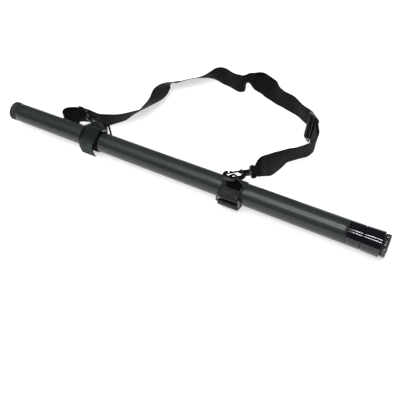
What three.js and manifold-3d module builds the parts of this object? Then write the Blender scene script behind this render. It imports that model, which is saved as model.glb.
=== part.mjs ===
import * as THREE from 'three';
import { mergeVertices } from 'three/addons/utils/BufferGeometryUtils.js';
import Module from 'manifold-3d';

// ---------------------------------------------------------------- dimensions
// millimetres; X along the pole (+X at the butt), Y away behind it, Z up.
// Stations below are measured from the surface the pole lies on (z = 0) and
// from a point on the pole's axis; the whole part is moved to its origin, the
// centre of the screw cap's end face, as the last step.
const AXIS_HEIGHT = 26.5;          // pole axis above the surface
const END_X = 308.5;               // end face of the screw cap
const TOP_X = -355.9;              // mouth of the butt section
const TOP_R = 15.58;               // outer radius at the mouth
const BUTT_X = 247.6;              // rear end of the carbon tube
const BUTT_R = 19.0;               // outer radius at the rear end
const BUTT_WALL = 1.2;
const SECTION_WALL = 0.9;
// inner sections: [front x, front outer radius, rear x, rear outer radius]
const SECTIONS = {
  section_two: [-339.4, 12.9, 239.2, 14.3],
  section_three: [-340.0, 10.6, 239.2, 11.75],
  section_four: [-340.6, 8.5, 239.2, 9.5],
  tip_section: [-338.2, 6.6, 239.2, 7.4],
};
const SOCKET_R = 3.9;              // threaded socket of the tip, minor radius
const CAP_HEAD_R = 16.0, CAP_HEAD_LEN = 13.6, CAP_PLUG_R = 14.1, CAP_PLUG_LEN = 13.6;
const FERRULE_R = 19.3, GROOVE_X = 270.2, GROOVE_W = 0.9;
const COLLAR_R0 = 19.45, COLLAR_R1 = 20.45, COLLAR_END = 300.1;
const SCREW_R = 18.3, LOBES = 12, LOBE_DEPTH = 1.1;
const WEB_W = 38, WEB_T = 1.4, CLEAR = 0.4;
const BAND_W = 35, BAND_T = 1.6, FOLD_W = { right: 32.6, left: 28.8 }, TAIL_W = { right: 32, left: 26 }, TAIL_AT = { right: [0, 0], left: [4.2, -3.8] }, BUCKLE_AT = { right: 0, left: 3.0 }, TAIL_T = 1.4;
const LEFT_BAND_X = -202.5, RIGHT_BAND_X = 60;
const LEFT_BAND_TURN = 123, RIGHT_BAND_TURN = 8;      // degrees round the pole
const LEFT_RING_AT = 195, RIGHT_RING_AT = 72;         // where each D-ring sits
const RING_BASE = 21, RING_TALL = 23, RING_WIRE_R = 1.8;
const BUCKLE_OUT = { right: 41, left: 37 }, BUCKLE_IN = { right: 33.6, left: 29.8 }, BUCKLE_PITCH = 13.0, BAR_W = 3.5, BAR_T = 2.6;
const SLIDE_L = 50, SLIDE_W = 29, SLIDE_T = 2.4;

// hooks: eye centre, direction to the nose, direction to the gate, eye bar
const RIGHT_HOOK_AT = [77.5, 27.4, 51], RIGHT_HOOK_L = [-0.5468, -0.7999, 0.2474], RIGHT_HOOK_A = [-0.828, 0.5604, -0.0181], RIGHT_EYE_BAR = [0.5087, -0.5521, -0.6606];
const LEFT_HOOK_AT = [-245.18, 43.52, 29.7], LEFT_HOOK_L = [0.9491, -0.278, -0.148], LEFT_HOOK_A = [0.1846, 0.1102, 0.9766], LEFT_EYE_BAR = [-0.1421, 0.0416, -0.989];
// slide adjuster: centre, run direction, across the webbing
const SLIDER_AT = [111.9, 196.8, 26.8], SLIDER_T = [0.5215, -0.7822, 0.341], SLIDER_A = [0.0004, -0.3994, -0.9168];
// one length of webbing, stitched end to stitched end: centre x, y, z, across x, y, z, half width
const STRAP = [
  [-262.02, 51.11, 25.94, 0.456, -0.116, -0.883, 11.5], [-258.2, 50.09, 28.05, 0.443, -0.088, -0.892, 10.5],
  [-254.29, 49.36, 29.96, 0.281, -0.071, -0.957, 9.2], [-250.07, 47.92, 30.59, 0.076, -0.041, -0.996, 7.6],
  [-249.12, 47.43, 30.43, -0.142, 0.042, -0.989, 7.6], [-248.39, 46.56, 30.29, -0.142, 0.042, -0.989, 7.6],
  [-248.07, 45.53, 30.2, -0.142, 0.042, -0.989, 7.6], [-248.17, 44.39, 30.17, -0.142, 0.042, -0.989, 7.6],
  [-248.7, 43.39, 30.2, -0.142, 0.042, -0.989, 7.6], [-249.53, 42.69, 30.29, -0.142, 0.042, -0.989, 7.6],
  [-250.6, 42.35, 30.43, -0.142, 0.042, -0.989, 7.6], [-251.67, 42.45, 30.59, -0.105, 0.041, -0.994, 7.6],
  [-256.91, 42.47, 31.1, -0.006, 0.145, -0.99, 9.12], [-258.91, 36.13, 29.71, 0.034, 0.27, -0.962, 10.82],
  [-261.38, 29.64, 27.35, 0.211, 0.311, -0.927, 12.72], [-266.18, 26.13, 24.7, 0.33, 0.231, -0.915, 14.92],
  [-271.74, 23.31, 22.01, 0.345, 0.12, -0.931, 16.95], [-277.73, 23.13, 20.03, 0.223, -0.055, -0.973, 18.46],
  [-282.46, 27.69, 19.31, 0.045, -0.046, -0.998, 19], [-282.68, 34.22, 19.3, -0.023, -0.003, -1, 19],
  [-279.07, 39.72, 19.2, -0.053, 0.035, -0.998, 19], [-274.14, 44.07, 19.19, -0.061, 0.08, -0.995, 19],
  [-268.65, 47.58, 19.2, -0.068, 0.115, -0.991, 19], [-262.78, 50.45, 19.15, -0.07, 0.146, -0.987, 19],
  [-256.59, 52.61, 19.09, -0.055, 0.179, -0.982, 19], [-250.17, 53.96, 19.08, -0.028, 0.206, -0.978, 19],
  [-243.67, 54.42, 19.11, -0.001, 0.227, -0.974, 19], [-237.18, 54.15, 19.12, 0.002, 0.243, -0.97, 19],
  [-230.6, 53.77, 18.96, -0.037, 0.253, -0.967, 19], [-223.99, 54.05, 18.59, -0.101, 0.239, -0.966, 19],
  [-217.88, 56, 18.55, -0.165, 0.207, -0.964, 19], [-212.53, 59.78, 18.32, -0.234, 0.204, -0.95, 19],
  [-207.68, 64.28, 17.88, -0.305, 0.227, -0.925, 19], [-203.09, 68.9, 17.45, -0.355, 0.255, -0.9, 19],
  [-198.67, 73.65, 17.12, -0.382, 0.279, -0.881, 19], [-194.39, 78.62, 16.89, -0.408, 0.282, -0.868, 19],
  [-190.47, 83.86, 16.66, -0.454, 0.25, -0.855, 19], [-187.17, 89.45, 16.26, -0.519, 0.192, -0.833, 19],
  [-184.56, 95.38, 15.61, -0.586, 0.146, -0.797, 19], [-182.39, 101.52, 14.87, -0.64, 0.138, -0.756, 19],
  [-180.38, 107.76, 14.25, -0.673, 0.162, -0.722, 19], [-178.34, 113.98, 13.88, -0.691, 0.175, -0.702, 19],
  [-176.48, 120.23, 13.54, -0.717, 0.14, -0.683, 19], [-175.09, 126.56, 12.97, -0.755, 0.068, -0.652, 19],
  [-174.27, 132.99, 12.15, -0.794, 0.008, -0.608, 19], [-173.77, 139.47, 11.3, -0.827, -0.014, -0.562, 19],
  [-173.37, 145.95, 10.57, -0.853, -0.008, -0.522, 19], [-172.96, 152.4, 9.97, -0.872, -0.012, -0.49, 19],
  [-172.8, 158.87, 9.41, -0.886, -0.053, -0.46, 19], [-173.14, 165.4, 8.84, -0.893, -0.133, -0.429, 19],
  [-174.25, 172.03, 8.29, -0.89, -0.219, -0.4, 19], [-175.99, 178.74, 7.86, -0.89, -0.255, -0.377, 19],
  [-177.76, 185.42, 7.6, -0.907, -0.211, -0.363, 19], [-178.9, 191.95, 7.55, -0.93, -0.069, -0.361, 19],
  [-178.76, 198.22, 7.74, -0.909, 0.189, -0.371, 19], [-176.7, 204.11, 8.35, -0.772, 0.491, -0.403, 19],
  [-172.6, 209.21, 9.78, -0.525, 0.703, -0.48, 19], [-167.18, 212.82, 11.95, -0.29, 0.747, -0.598, 19],
  [-161.43, 215.66, 12.95, -0.305, 0.695, -0.652, 19], [-156.43, 219.47, 13.03, -0.495, 0.57, -0.655, 19],
  [-152.34, 224.57, 12.88, -0.616, 0.45, -0.647, 19], [-148.55, 230.11, 12.63, -0.638, 0.437, -0.633, 19],
  [-144.49, 235.31, 12.38, -0.61, 0.494, -0.62, 19], [-140.05, 240.07, 12.22, -0.557, 0.562, -0.612, 19],
  [-135.26, 244.45, 12.27, -0.493, 0.616, -0.614, 19], [-130.19, 248.55, 12.6, -0.429, 0.645, -0.632, 19],
  [-124.95, 252.44, 13.18, -0.367, 0.651, -0.664, 19], [-119.64, 256.14, 13.93, -0.283, 0.65, -0.705, 19],
  [-114.14, 259.41, 14.92, -0.167, 0.63, -0.759, 19], [-108.36, 262.17, 16.27, -0.055, 0.548, -0.835, 19],
  [-102.21, 264.44, 17.82, 0.036, 0.384, -0.922, 19], [-95.85, 266.06, 18.77, 0.088, 0.181, -0.979, 19],
  [-89.52, 266.72, 19, 0.078, 0.032, -0.996, 19], [-83.38, 266.27, 19.34, 0.034, -0.007, -0.999, 19],
  [-77.25, 264.98, 19.42, -0, 0.016, -1, 19], [-70.86, 263.23, 19.29, -0.019, 0.049, -0.999, 19],
  [-63.95, 261.41, 19.04, -0.035, 0.056, -0.998, 19], [-56.5, 260, 19.04, -0.034, 0.004, -0.999, 19],
  [-49.58, 260.02, 19.04, 0.045, -0.058, -0.997, 19], [-44.54, 262.6, 19, 0.142, 0.082, -0.986, 19],
  [-42.07, 268.2, 20.25, -0.052, 0.209, -0.977, 19], [-40.62, 275.08, 21.45, -0.258, 0.179, -0.949, 19],
  [-38.22, 281.02, 21.62, -0.424, 0.207, -0.882, 19], [-33.42, 284.32, 20.17, -0.366, 0.176, -0.914, 19],
  [-26.89, 285.23, 18.13, -0.29, -0.139, -0.947, 19], [-19.76, 284.46, 17.21, -0.235, -0.397, -0.887, 19],
  [-13.09, 282.67, 17.17, -0.148, -0.444, -0.884, 19], [-7.06, 280.32, 17.34, -0.117, -0.434, -0.893, 19],
  [-1.2, 277.72, 17.22, -0.196, -0.419, -0.887, 19], [4.73, 274.99, 16.91, -0.269, -0.414, -0.87, 19],
  [10.54, 271.97, 17.28, -0.241, -0.387, -0.89, 19], [16.03, 268.47, 18, -0.123, -0.341, -0.932, 19],
  [21.25, 264.63, 18.37, -0.005, -0.294, -0.956, 19], [26.46, 260.82, 18.66, 0.062, -0.216, -0.974, 19],
  [31.91, 257.42, 18.96, 0.064, -0.097, -0.993, 19], [37.8, 254.73, 19.23, 0.015, -0.004, -1, 19],
  [44.03, 252.65, 19.1, -0.017, 0.024, -1, 19], [50.38, 250.92, 19.05, -0.012, 0.009, -1, 19],
  [56.69, 249.24, 19.06, -0.001, -0.009, -1, 19], [62.87, 247.16, 19.05, 0.004, 0.006, -1, 19],
  [68.85, 244.47, 19.06, 0.021, 0.048, -0.999, 19], [74.56, 241.29, 19.03, 0.047, 0.08, -0.996, 19],
  [80.02, 237.8, 19.01, 0.06, 0.09, -0.994, 19], [85.5, 234.29, 19.02, 0.051, 0.091, -0.995, 19],
  [91.37, 231.11, 19.04, 0.035, 0.083, -0.996, 19], [97.45, 228.17, 19.06, 0.034, 0.055, -0.998, 19],
  [102.62, 224.61, 19.05, 0.049, -0.01, -0.999, 19], [105.63, 219.49, 19.32, 0.048, -0.092, -0.995, 19],
  [105.25, 211.88, 20.23, -0.032, -0.245, -0.969, 19], [108.19, 206.76, 22.46, 0, -0.399, -0.917, 19],
  [108.17, 205.03, 23.21, 0, -0.399, -0.917, 19], [105.84, 199.74, 25.52, 0, -0.399, -0.917, 19],
  [105.96, 197.98, 26.28, 0, -0.399, -0.917, 19], [108.15, 194.7, 27.71, 0, -0.399, -0.917, 19],
  [110.34, 191.41, 29.15, 0, -0.399, -0.917, 19], [111.99, 190.51, 29.54, 0, -0.399, -0.917, 19],
  [118.19, 190.01, 29.76, 0, -0.399, -0.917, 19], [119.79, 189.19, 30.12, 0, -0.399, -0.917, 19],
  [123.07, 184.26, 32.27, -0.069, -0.248, -0.966, 19], [124.59, 178.32, 32.56, -0.154, 0.065, -0.986, 19],
  [127.15, 173.06, 30.89, -0.302, 0.249, -0.92, 19], [129.89, 168.3, 28.11, -0.346, 0.337, -0.876, 19],
  [132.28, 163.5, 25.18, -0.27, 0.386, -0.882, 19], [133.49, 158.53, 22.74, -0.122, 0.361, -0.925, 19],
  [132.73, 153.32, 21.15, -0.06, 0.233, -0.971, 19], [130.29, 147.97, 20.4, -0.107, 0.143, -0.984, 19],
  [127, 143.04, 20.28, -0.162, 0.115, -0.98, 19], [123.25, 138.37, 20.43, -0.182, 0.124, -0.975, 19],
  [119.36, 133.7, 20.52, -0.181, 0.141, -0.973, 19], [115.49, 129.03, 20.53, -0.188, 0.139, -0.972, 19],
  [111.58, 124.44, 20.7, -0.207, 0.11, -0.972, 19], [107.55, 119.87, 21.18, -0.204, 0.063, -0.977, 19],
  [103.77, 114.94, 21.71, -0.148, 0.013, -0.989, 19], [100.78, 109.43, 22.06, -0.069, -0.039, -0.997, 18.96],
  [98.51, 103.65, 22.52, -0.011, -0.122, -0.992, 18.85], [96.55, 97.93, 23.52, 0.028, -0.234, -0.972, 18.74],
  [94.71, 92.32, 25.14, 0.071, -0.327, -0.942, 18.62], [93, 86.77, 27.13, 0.125, -0.378, -0.917, 18.48],
  [91.42, 81.24, 29.25, 0.179, -0.402, -0.898, 18.3], [89.89, 75.77, 31.43, 0.223, -0.426, -0.877, 18.08],
  [88.28, 70.42, 33.72, 0.253, -0.466, -0.848, 17.79], [86.44, 65.25, 36.18, 0.28, -0.497, -0.821, 17.37],
  [84.5, 59.99, 38.75, 0.33, -0.48, -0.813, 16.71], [83.09, 54.35, 41.25, 0.393, -0.392, -0.832, 15.78],
  [82.69, 48.35, 43.38, 0.447, -0.285, -0.848, 14.32], [82.58, 42.55, 44.94, 0.522, -0.252, -0.815, 12.13],
  [81.73, 37.38, 46.16, 0.572, -0.4, -0.716, 9.79], [79.11, 33.17, 47.42, 0.521, -0.532, -0.667, 7.6],
  [78.44, 31.97, 47.91, 0.509, -0.552, -0.661, 7.6], [78.34, 31.06, 48.58, 0.509, -0.552, -0.661, 7.6],
  [78.61, 30.37, 49.37, 0.509, -0.552, -0.661, 7.6], [79.22, 29.92, 50.22, 0.509, -0.552, -0.661, 7.6],
  [80.09, 29.84, 50.95, 0.509, -0.552, -0.661, 7.6], [81.02, 30.12, 51.44, 0.509, -0.552, -0.661, 7.6],
  [81.96, 30.73, 51.65, 0.509, -0.552, -0.661, 7.6], [82.45, 31.23, 51.61, 0.518, -0.538, -0.665, 7.6],
  [86.05, 36.89, 49.85, 0.55, -0.455, -0.7, 9.79], [87.43, 43, 47.87, 0.513, -0.337, -0.789, 12.13],
  [87.75, 49.04, 45.78, 0.443, -0.339, -0.83, 14.32], [88.17, 54.56, 43.55, 0.387, -0.42, -0.821, 15.78],
  [89.24, 59.69, 41.03, 0.334, -0.489, -0.806, 16.71], [90.7, 64.81, 38.38, 0.295, -0.493, -0.818, 17.37],
  [92.19, 70.08, 35.83, 0.269, -0.455, -0.849, 17.79], [93.47, 75.46, 33.55, 0.239, -0.411, -0.88, 18.08],
  [94.69, 80.87, 31.47, 0.195, -0.384, -0.903, 18.3], [96, 86.23, 29.52, 0.139, -0.357, -0.924, 18.48],
  [97.48, 91.54, 27.77, 0.085, -0.297, -0.951, 18.62], [99.15, 96.88, 26.48, 0.045, -0.183, -0.982, 18.74],
  [101.03, 102.27, 25.92, 0.015, -0.041, -0.999, 18.85], [103.24, 107.49, 26.1, -0.03, 0.054, -0.998, 18.96],
  [106.1, 112.25, 26.32, -0.098, 0.1, -0.99, 19], [109.8, 116.58, 26.36, -0.149, 0.136, -0.979, 19],
  [113.93, 120.93, 26.34, -0.166, 0.158, -0.973, 19], [117.96, 125.54, 26.43, -0.163, 0.168, -0.972, 19],
  [121.86, 130.27, 26.63, -0.166, 0.157, -0.974, 19], [125.77, 135.04, 26.62, -0.173, 0.133, -0.976, 19],
  [129.68, 140.05, 26.57, -0.15, 0.127, -0.98, 19], [133.24, 145.64, 26.85, -0.116, 0.125, -0.985, 19],
  [135.91, 152.1, 27.37, -0.092, 0.13, -0.987, 19], [136.63, 158.9, 28.28, -0.113, 0.162, -0.98, 19],
  [134.96, 165.09, 29.63, -0.19, 0.188, -0.964, 19], [132.19, 170.36, 31.39, -0.261, 0.19, -0.947, 19],
  [129.34, 175.05, 33.17, -0.23, 0.11, -0.967, 19], [126.83, 179.73, 33.73, -0.074, -0.161, -0.984, 19],
  [124.78, 185.22, 31.85, -0.018, -0.363, -0.931, 19], [122.17, 189.13, 30.15, 0, -0.399, -0.917, 19],
  [118.74, 194.19, 27.94, 0, -0.399, -0.917, 19], [116.92, 195.42, 27.4, 0, -0.399, -0.917, 19],
  [115, 195.31, 27.45, 0, -0.399, -0.917, 19], [113.44, 194.49, 27.81, 0, -0.399, -0.917, 19],
  [111.98, 194.05, 28, 0, -0.399, -0.917, 19], [110.53, 194.64, 27.74, 0, -0.399, -0.917, 19],
  [109.17, 196.67, 26.86, 0, -0.399, -0.917, 19], [109.26, 198.12, 26.23, 0, -0.399, -0.917, 19],
  [110.36, 199.11, 25.79, 0, -0.399, -0.917, 19], [113.26, 200.73, 25.09, 0, -0.399, -0.917, 19],
  [114.9, 201.27, 24.85, 0, -0.399, -0.917, 19], [116.65, 200.75, 25.08, 0, -0.399, -0.917, 19],
  [117.93, 199.1, 25.8, 0, -0.399, -0.917, 19], [120.49, 195.17, 27.52, 0, -0.399, -0.917, 19],
  [123.62, 190.47, 29.56, 0, -0.399, -0.917, 19], [127.79, 184.22, 32.29, 0, -0.399, -0.917, 19],
];
const V = (x, y, z) => new THREE.Vector3(x, y, z);
const wasm = await Module();
wasm.setup();
const { Manifold, Mesh: MMesh } = wasm;

// ------------------------------------------------------------ solid helpers
function geometryOf(points, index) {
  const g = new THREE.BufferGeometry();
  g.setAttribute('position', new THREE.Float32BufferAttribute(points.flatMap((p) => [p.x, p.y, p.z]), 3));
  g.setIndex(index);
  return outward(g);
}
function outward(g) {
  const p = g.getAttribute('position'), ix = g.getIndex();
  let v = 0;
  const a = V(), b = V(), c = V();
  for (let i = 0; i < ix.count; i += 3) {
    a.fromBufferAttribute(p, ix.getX(i)); b.fromBufferAttribute(p, ix.getX(i + 1)); c.fromBufferAttribute(p, ix.getX(i + 2));
    v += a.dot(b.cross(c));
  }
  if (v < 0) {
    const arr = Array.from(ix.array);
    for (let i = 0; i < arr.length; i += 3) [arr[i + 1], arr[i + 2]] = [arr[i + 2], arr[i + 1]];
    g.setIndex(arr);
  }
  return g;
}
// rings of equal length joined into a skin; open chains get flat end caps
function skin(rings, closed = false) {
  const n = rings[0].length, pts = rings.flat(), ix = [];
  const m = rings.length, last = closed ? m : m - 1;
  for (let i = 0; i < last; i++) {
    const j = (i + 1) % m;
    for (let k = 0; k < n; k++) {
      const l = (k + 1) % n;
      ix.push(i * n + k, j * n + k, j * n + l, i * n + k, j * n + l, i * n + l);
    }
  }
  if (!closed) {
    for (const [r, flip] of [[0, false], [m - 1, true]]) {
      const c = V(); rings[r].forEach((p) => c.add(p)); c.divideScalar(n);
      const ci = pts.length; pts.push(c);
      for (let k = 0; k < n; k++) {
        const l = (k + 1) % n;
        if (flip) ix.push(ci, r * n + l, r * n + k); else ix.push(ci, r * n + k, r * n + l);
      }
    }
  }
  return geometryOf(pts, ix);
}
// turned piece about the pole axis: profile of [x, r], closed on itself, or
// starting and ending on the axis
function turned(profile, segs = 48, rad = null) {
  const onAxis = profile[0][1] === 0;
  const body = onAxis ? profile.slice(1, -1) : profile;
  const ring = (x, r) => Array.from({ length: segs }, (_, k) => {
    const t = (k / segs) * Math.PI * 2, q = rad ? rad(t, x, r) : r;
    return V(x, q * Math.cos(t), q * Math.sin(t));
  });
  const rings = body.map(([x, r]) => ring(x, r));
  if (!onAxis) return skin(rings, true);
  const pts = rings.flat(), ix = [], n = segs, m = rings.length;
  for (let i = 0; i < m - 1; i++) for (let k = 0; k < n; k++) {
    const l = (k + 1) % n;
    ix.push(i * n + k, (i + 1) * n + k, (i + 1) * n + l, i * n + k, (i + 1) * n + l, i * n + l);
  }
  const a = pts.length; pts.push(V(profile[0][0], 0, 0)); const b = pts.length; pts.push(V(profile[profile.length - 1][0], 0, 0));
  for (let k = 0; k < n; k++) {
    const l = (k + 1) % n;
    ix.push(a, k, l, b, (m - 1) * n + l, (m - 1) * n + k);
  }
  return geometryOf(pts, ix);
}
// flat webbing: stations of centre, across vector and half width
function webbing(stations, thick, across = 2) {
  const c = stations.map((s) => V(s[0], s[1], s[2]));
  return skin(stations.map((s, i) => {
    const t = c[Math.min(i + 1, c.length - 1)].clone().sub(c[Math.max(i - 1, 0)]).normalize();
    const a = V(s[3], s[4], s[5]).normalize();
    const n = t.clone().cross(a).normalize().multiplyScalar(thick / 2);
    const row = [];
    for (let k = 0; k < across; k++) row.push(c[i].clone().addScaledVector(a, s[6] * (2 * k / (across - 1) - 1)).add(n));
    for (let k = across - 1; k >= 0; k--) row.push(c[i].clone().addScaledVector(a, s[6] * (2 * k / (across - 1) - 1)).sub(n));
    return row;
  }));
}
// a strip of webbing that lies round the pole: path of [y, z], width along X
function wrapStrip(path, at, width, thick) {
  const rings = path.map((p, i) => {
    const x = typeof at === 'function' ? at(i) : at;
    const a = path[Math.max(i - 1, 0)], b = path[Math.min(i + 1, path.length - 1)];
    const t = new THREE.Vector2(b[0] - a[0], b[1] - a[1]).normalize();
    const nx = -t.y * thick / 2, nz = t.x * thick / 2;
    return [V(x - width / 2, p[0] + nx, p[1] + nz), V(x + width / 2, p[0] + nx, p[1] + nz),
      V(x + width / 2, p[0] - nx, p[1] - nz), V(x - width / 2, p[0] - nx, p[1] - nz)];
  });
  return skin(rings);
}
// round wire along a closed planar path of points
function wire(points, radius, normal, sides = 10) {
  const m = points.length;
  return skin(points.map((p, i) => {
    const t = points[(i + 1) % m].clone().sub(points[(i + m - 1) % m]).normalize();
    const b = normal.clone().cross(t).normalize();
    return Array.from({ length: sides }, (_, k) => {
      const q = (k / sides) * Math.PI * 2;
      return p.clone().addScaledVector(b, radius * Math.cos(q)).addScaledVector(normal, radius * Math.sin(q));
    });
  }), true);
}
function plate(shape, thick, bevel = 0, curve = 6) {
  const g = new THREE.ExtrudeGeometry(shape, bevel
    ? { depth: thick - 2 * bevel, bevelEnabled: true, bevelThickness: bevel, bevelSize: bevel, bevelOffset: -bevel, bevelSegments: 1, curveSegments: curve }
    : { depth: thick, bevelEnabled: false, curveSegments: curve });
  g.translate(0, 0, bevel ? -(thick - 2 * bevel) / 2 : -thick / 2);
  return g;
}
function polygon(pts) { return new THREE.Shape(pts.map(([x, y]) => new THREE.Vector2(x, y))); }
// smooth closed outline through the points
function smooth(pts, n = 2) {
  const c = new THREE.CatmullRomCurve3(pts.map(([x, y]) => V(x, y, 0)), true, 'centripetal');
  return new THREE.Shape(c.getPoints(pts.length * n).slice(0, -1).map((p) => new THREE.Vector2(p.x, p.y)));
}
function rounded(w, h, r, Ctor = THREE.Shape) {
  const s = new Ctor();
  s.moveTo(-w / 2 + r, -h / 2); s.lineTo(w / 2 - r, -h / 2); s.absarc(w / 2 - r, -h / 2 + r, r, -Math.PI / 2, 0);
  s.lineTo(w / 2, h / 2 - r); s.absarc(w / 2 - r, h / 2 - r, r, 0, Math.PI / 2);
  s.lineTo(-w / 2 + r, h / 2); s.absarc(-w / 2 + r, h / 2 - r, r, Math.PI / 2, Math.PI);
  s.lineTo(-w / 2, -h / 2 + r); s.absarc(-w / 2 + r, -h / 2 + r, r, Math.PI, 1.5 * Math.PI);
  return s;
}
function hole(w, h, r, x, y) {
  const p = rounded(w, h, r, THREE.Path);
  return new THREE.Path(p.getPoints(3).map((q) => new THREE.Vector2(q.x + x, q.y + y)));
}
function toManifold(g) {
  let q = g.clone(); q.deleteAttribute('normal'); q.deleteAttribute('uv'); q = mergeVertices(q, 1e-4);
  return new Manifold(new MMesh({ numProp: 3, vertProperties: new Float32Array(q.getAttribute('position').array), triVerts: new Uint32Array(q.getIndex().array) }));
}
function fromManifold(m) {
  const r = m.getMesh(), g = new THREE.BufferGeometry();
  const pos = new Float32Array((r.vertProperties.length / r.numProp) * 3);
  for (let i = 0; i < pos.length / 3; i++) for (let k = 0; k < 3; k++) pos[3 * i + k] = r.vertProperties[i * r.numProp + k];
  g.setAttribute('position', new THREE.BufferAttribute(pos, 3));
  g.setIndex(Array.from(r.triVerts));
  return g;
}
const fuse = (...gs) => fromManifold(gs.map(toManifold).reduce((a, b) => a.add(b)));
const cut = (g, ...tools) => fromManifold(tools.map(toManifold).reduce((a, b) => a.subtract(b), toManifold(g)));
// cylinder along local x / z with flat ends
function rod(r, x0, x1, sides = 20) { const g = new THREE.CylinderGeometry(r, r, x1 - x0, sides); g.rotateZ(-Math.PI / 2); g.translate((x0 + x1) / 2, 0, 0); return g; }
function pinZ(r, len, x, y, sides = 16) { const g = new THREE.CylinderGeometry(r, r, len, sides); g.rotateX(Math.PI / 2); g.translate(x, y, 0); return g; }
function box(x0, x1, y0, y1, z0, z1) { const g = new THREE.BoxGeometry(x1 - x0, y1 - y0, z1 - z0); g.translate((x0 + x1) / 2, (y0 + y1) / 2, (z0 + z1) / 2); return g; }

// ------------------------------------------------------------ pole sections
const rAt = (x) => TOP_R + (BUTT_R - TOP_R) * (x - TOP_X) / (BUTT_X - TOP_X);
const onAxis = (g) => { g.translate(0, 0, AXIS_HEIGHT); return g; };
function tube(x0, r0, x1, r1, wall, segs = 48, steps = 1) {
  const out = [], inn = [];
  for (let i = 0; i <= steps; i++) {
    const x = x0 + (x1 - x0) * i / steps, r = r0 + (r1 - r0) * i / steps;
    out.push([x, r]); inn.unshift([x, r - wall]);
  }
  return turned([...out, ...inn], segs);
}
const parts = [];
const MAT = {
  carbon: { color: 0x2b3233, roughness: 0.32, metalness: 0.0 },
  innerCarbon: { color: 0x24292b, roughness: 0.4, metalness: 0.0 },
  blackGloss: { color: 0x0b0b10, roughness: 0.08, metalness: 0.1 },
  rubber: { color: 0x131313, roughness: 0.85, metalness: 0.0 },
  webbing: { color: 0x1c1c1d, roughness: 0.9, metalness: 0.0 },
  tape: { color: 0x272b2b, roughness: 0.95, metalness: 0.0 },
  nylon: { color: 0x141516, roughness: 0.35, metalness: 0.0 },
  gunmetal: { color: 0x2c3032, roughness: 0.3, metalness: 0.9 },
  brass: { color: 0x9a7b3e, roughness: 0.35, metalness: 0.9 },
};
function add(name, geometry, mat) {
  const g = mergeVertices((() => { const q = geometry.clone(); q.deleteAttribute('normal'); q.deleteAttribute('uv'); return q; })(), 1e-4);
  g.computeVertexNormals();
  const m = new THREE.Mesh(g, new THREE.MeshStandardMaterial(MAT[mat]));
  m.name = name; parts.push(m);
}
add('butt_section', onAxis(tube(TOP_X, TOP_R, BUTT_X, BUTT_R, BUTT_WALL, 48)), 'carbon');
for (const [name, [x0, r0, x1, r1]] of Object.entries(SECTIONS)) add(name, onAxis(tube(x0, r0, x1, r1, SECTION_WALL, 32)), 'innerCarbon');
// threaded socket bonded in the tip: flange in front, sleeve inside the tube
const TIP_X = SECTIONS.tip_section[0], TIP_BORE = SECTIONS.tip_section[1] - SECTION_WALL;
add('tip_socket', onAxis(turned([[TIP_X - 2.6, SOCKET_R], [TIP_X - 2.6, 6.1], [TIP_X - 2.2, 6.5], [TIP_X - 0.05, 6.5], [TIP_X - 0.05, TIP_BORE - 0.05], [TIP_X + 18, TIP_BORE - 0.05], [TIP_X + 18, SOCKET_R]], 32)), 'brass');
// rubber cap: head with a rounded nose, hollow plug inside the mouth
add('top_cap', onAxis(turned([[TOP_X - CAP_HEAD_LEN, 0], [TOP_X - CAP_HEAD_LEN, 12.6], [TOP_X - CAP_HEAD_LEN + 0.7, 14.4], [TOP_X - CAP_HEAD_LEN + 2.3, 15.7], [TOP_X - CAP_HEAD_LEN + 4, CAP_HEAD_R],
  [TOP_X - 0.9, CAP_HEAD_R], [TOP_X - 0.3, CAP_HEAD_R - 0.6], [TOP_X - 0.3, CAP_PLUG_R], [TOP_X + CAP_PLUG_LEN, CAP_PLUG_R - 0.2], [TOP_X + CAP_PLUG_LEN, 11.6], [TOP_X + 2, 11.6], [TOP_X + 2, 0]], 48)), 'rubber');

// ------------------------------------------------------------ butt fittings
add('butt_ferrule', onAxis(turned([[222, 17.4], [BUTT_X + 0.4, 17.5], [BUTT_X + 0.4, FERRULE_R - 0.25], [BUTT_X + 0.8, FERRULE_R], [GROOVE_X - 0.4, FERRULE_R + 0.1], [GROOVE_X, FERRULE_R - 0.25],
  [GROOVE_X, 17.6], [263, 17.6], [263, 15.3], [222, 15.3]], 48)), 'blackGloss');
add('butt_collar', onAxis(turned([[263.4, 17.2], [GROOVE_X + GROOVE_W, 17.2], [GROOVE_X + GROOVE_W, COLLAR_R0 - 0.3], [GROOVE_X + GROOVE_W + 0.4, COLLAR_R0], [COLLAR_END - 1.6, COLLAR_R1], [COLLAR_END - 0.5, COLLAR_R1 - 0.3], [COLLAR_END, COLLAR_R1 - 1.1],
  [COLLAR_END, 16.3], [281, 16.3], [281, 15.3], [263.4, 15.3]], 48)), 'blackGloss');
add('cap_washer', onAxis(turned([[COLLAR_END + 0.3, 16.1], [COLLAR_END + 0.3, 17.7], [COLLAR_END + 1.5, 17.7], [COLLAR_END + 1.5, 16.1]], 32)), 'rubber');
// screw cap: grip lobes outside, hollow plug inside the collar
const lobes = (t, x, r) => (r > 17 ? r - LOBE_DEPTH * Math.pow(0.5 + 0.5 * Math.cos(LOBES * t), 4) : r);
const capTurned = turned([[250.5, 0], [250.5, 14.0], [251.3, 14.8], [281.6, 14.8], [282, 15.9], [COLLAR_END + 1.9, 15.9], [COLLAR_END + 1.9, SCREW_R - 0.5], [COLLAR_END + 2.5, SCREW_R], [END_X - 1.6, SCREW_R], [END_X - 0.4, SCREW_R - 0.9], [END_X, 17.05], [END_X, 0]], 72, lobes);
add('end_cap', onAxis(cut(capTurned, turned([[240, 0], [240, 12.2], [294, 12.2], [294, 0]], 32))), 'nylon');
add('end_cushion', onAxis(turned([[241.2, 0], [241.2, 12.6], [242.4, 14.0], [250.2, 14.0], [250.2, 11.9], [254, 11.9], [254, 0]], 32)), 'rubber');

// ------------------------------------------------------------ shoulder strap
add('strap_webbing', webbing(STRAP, WEB_T, 2), 'webbing');

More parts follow.
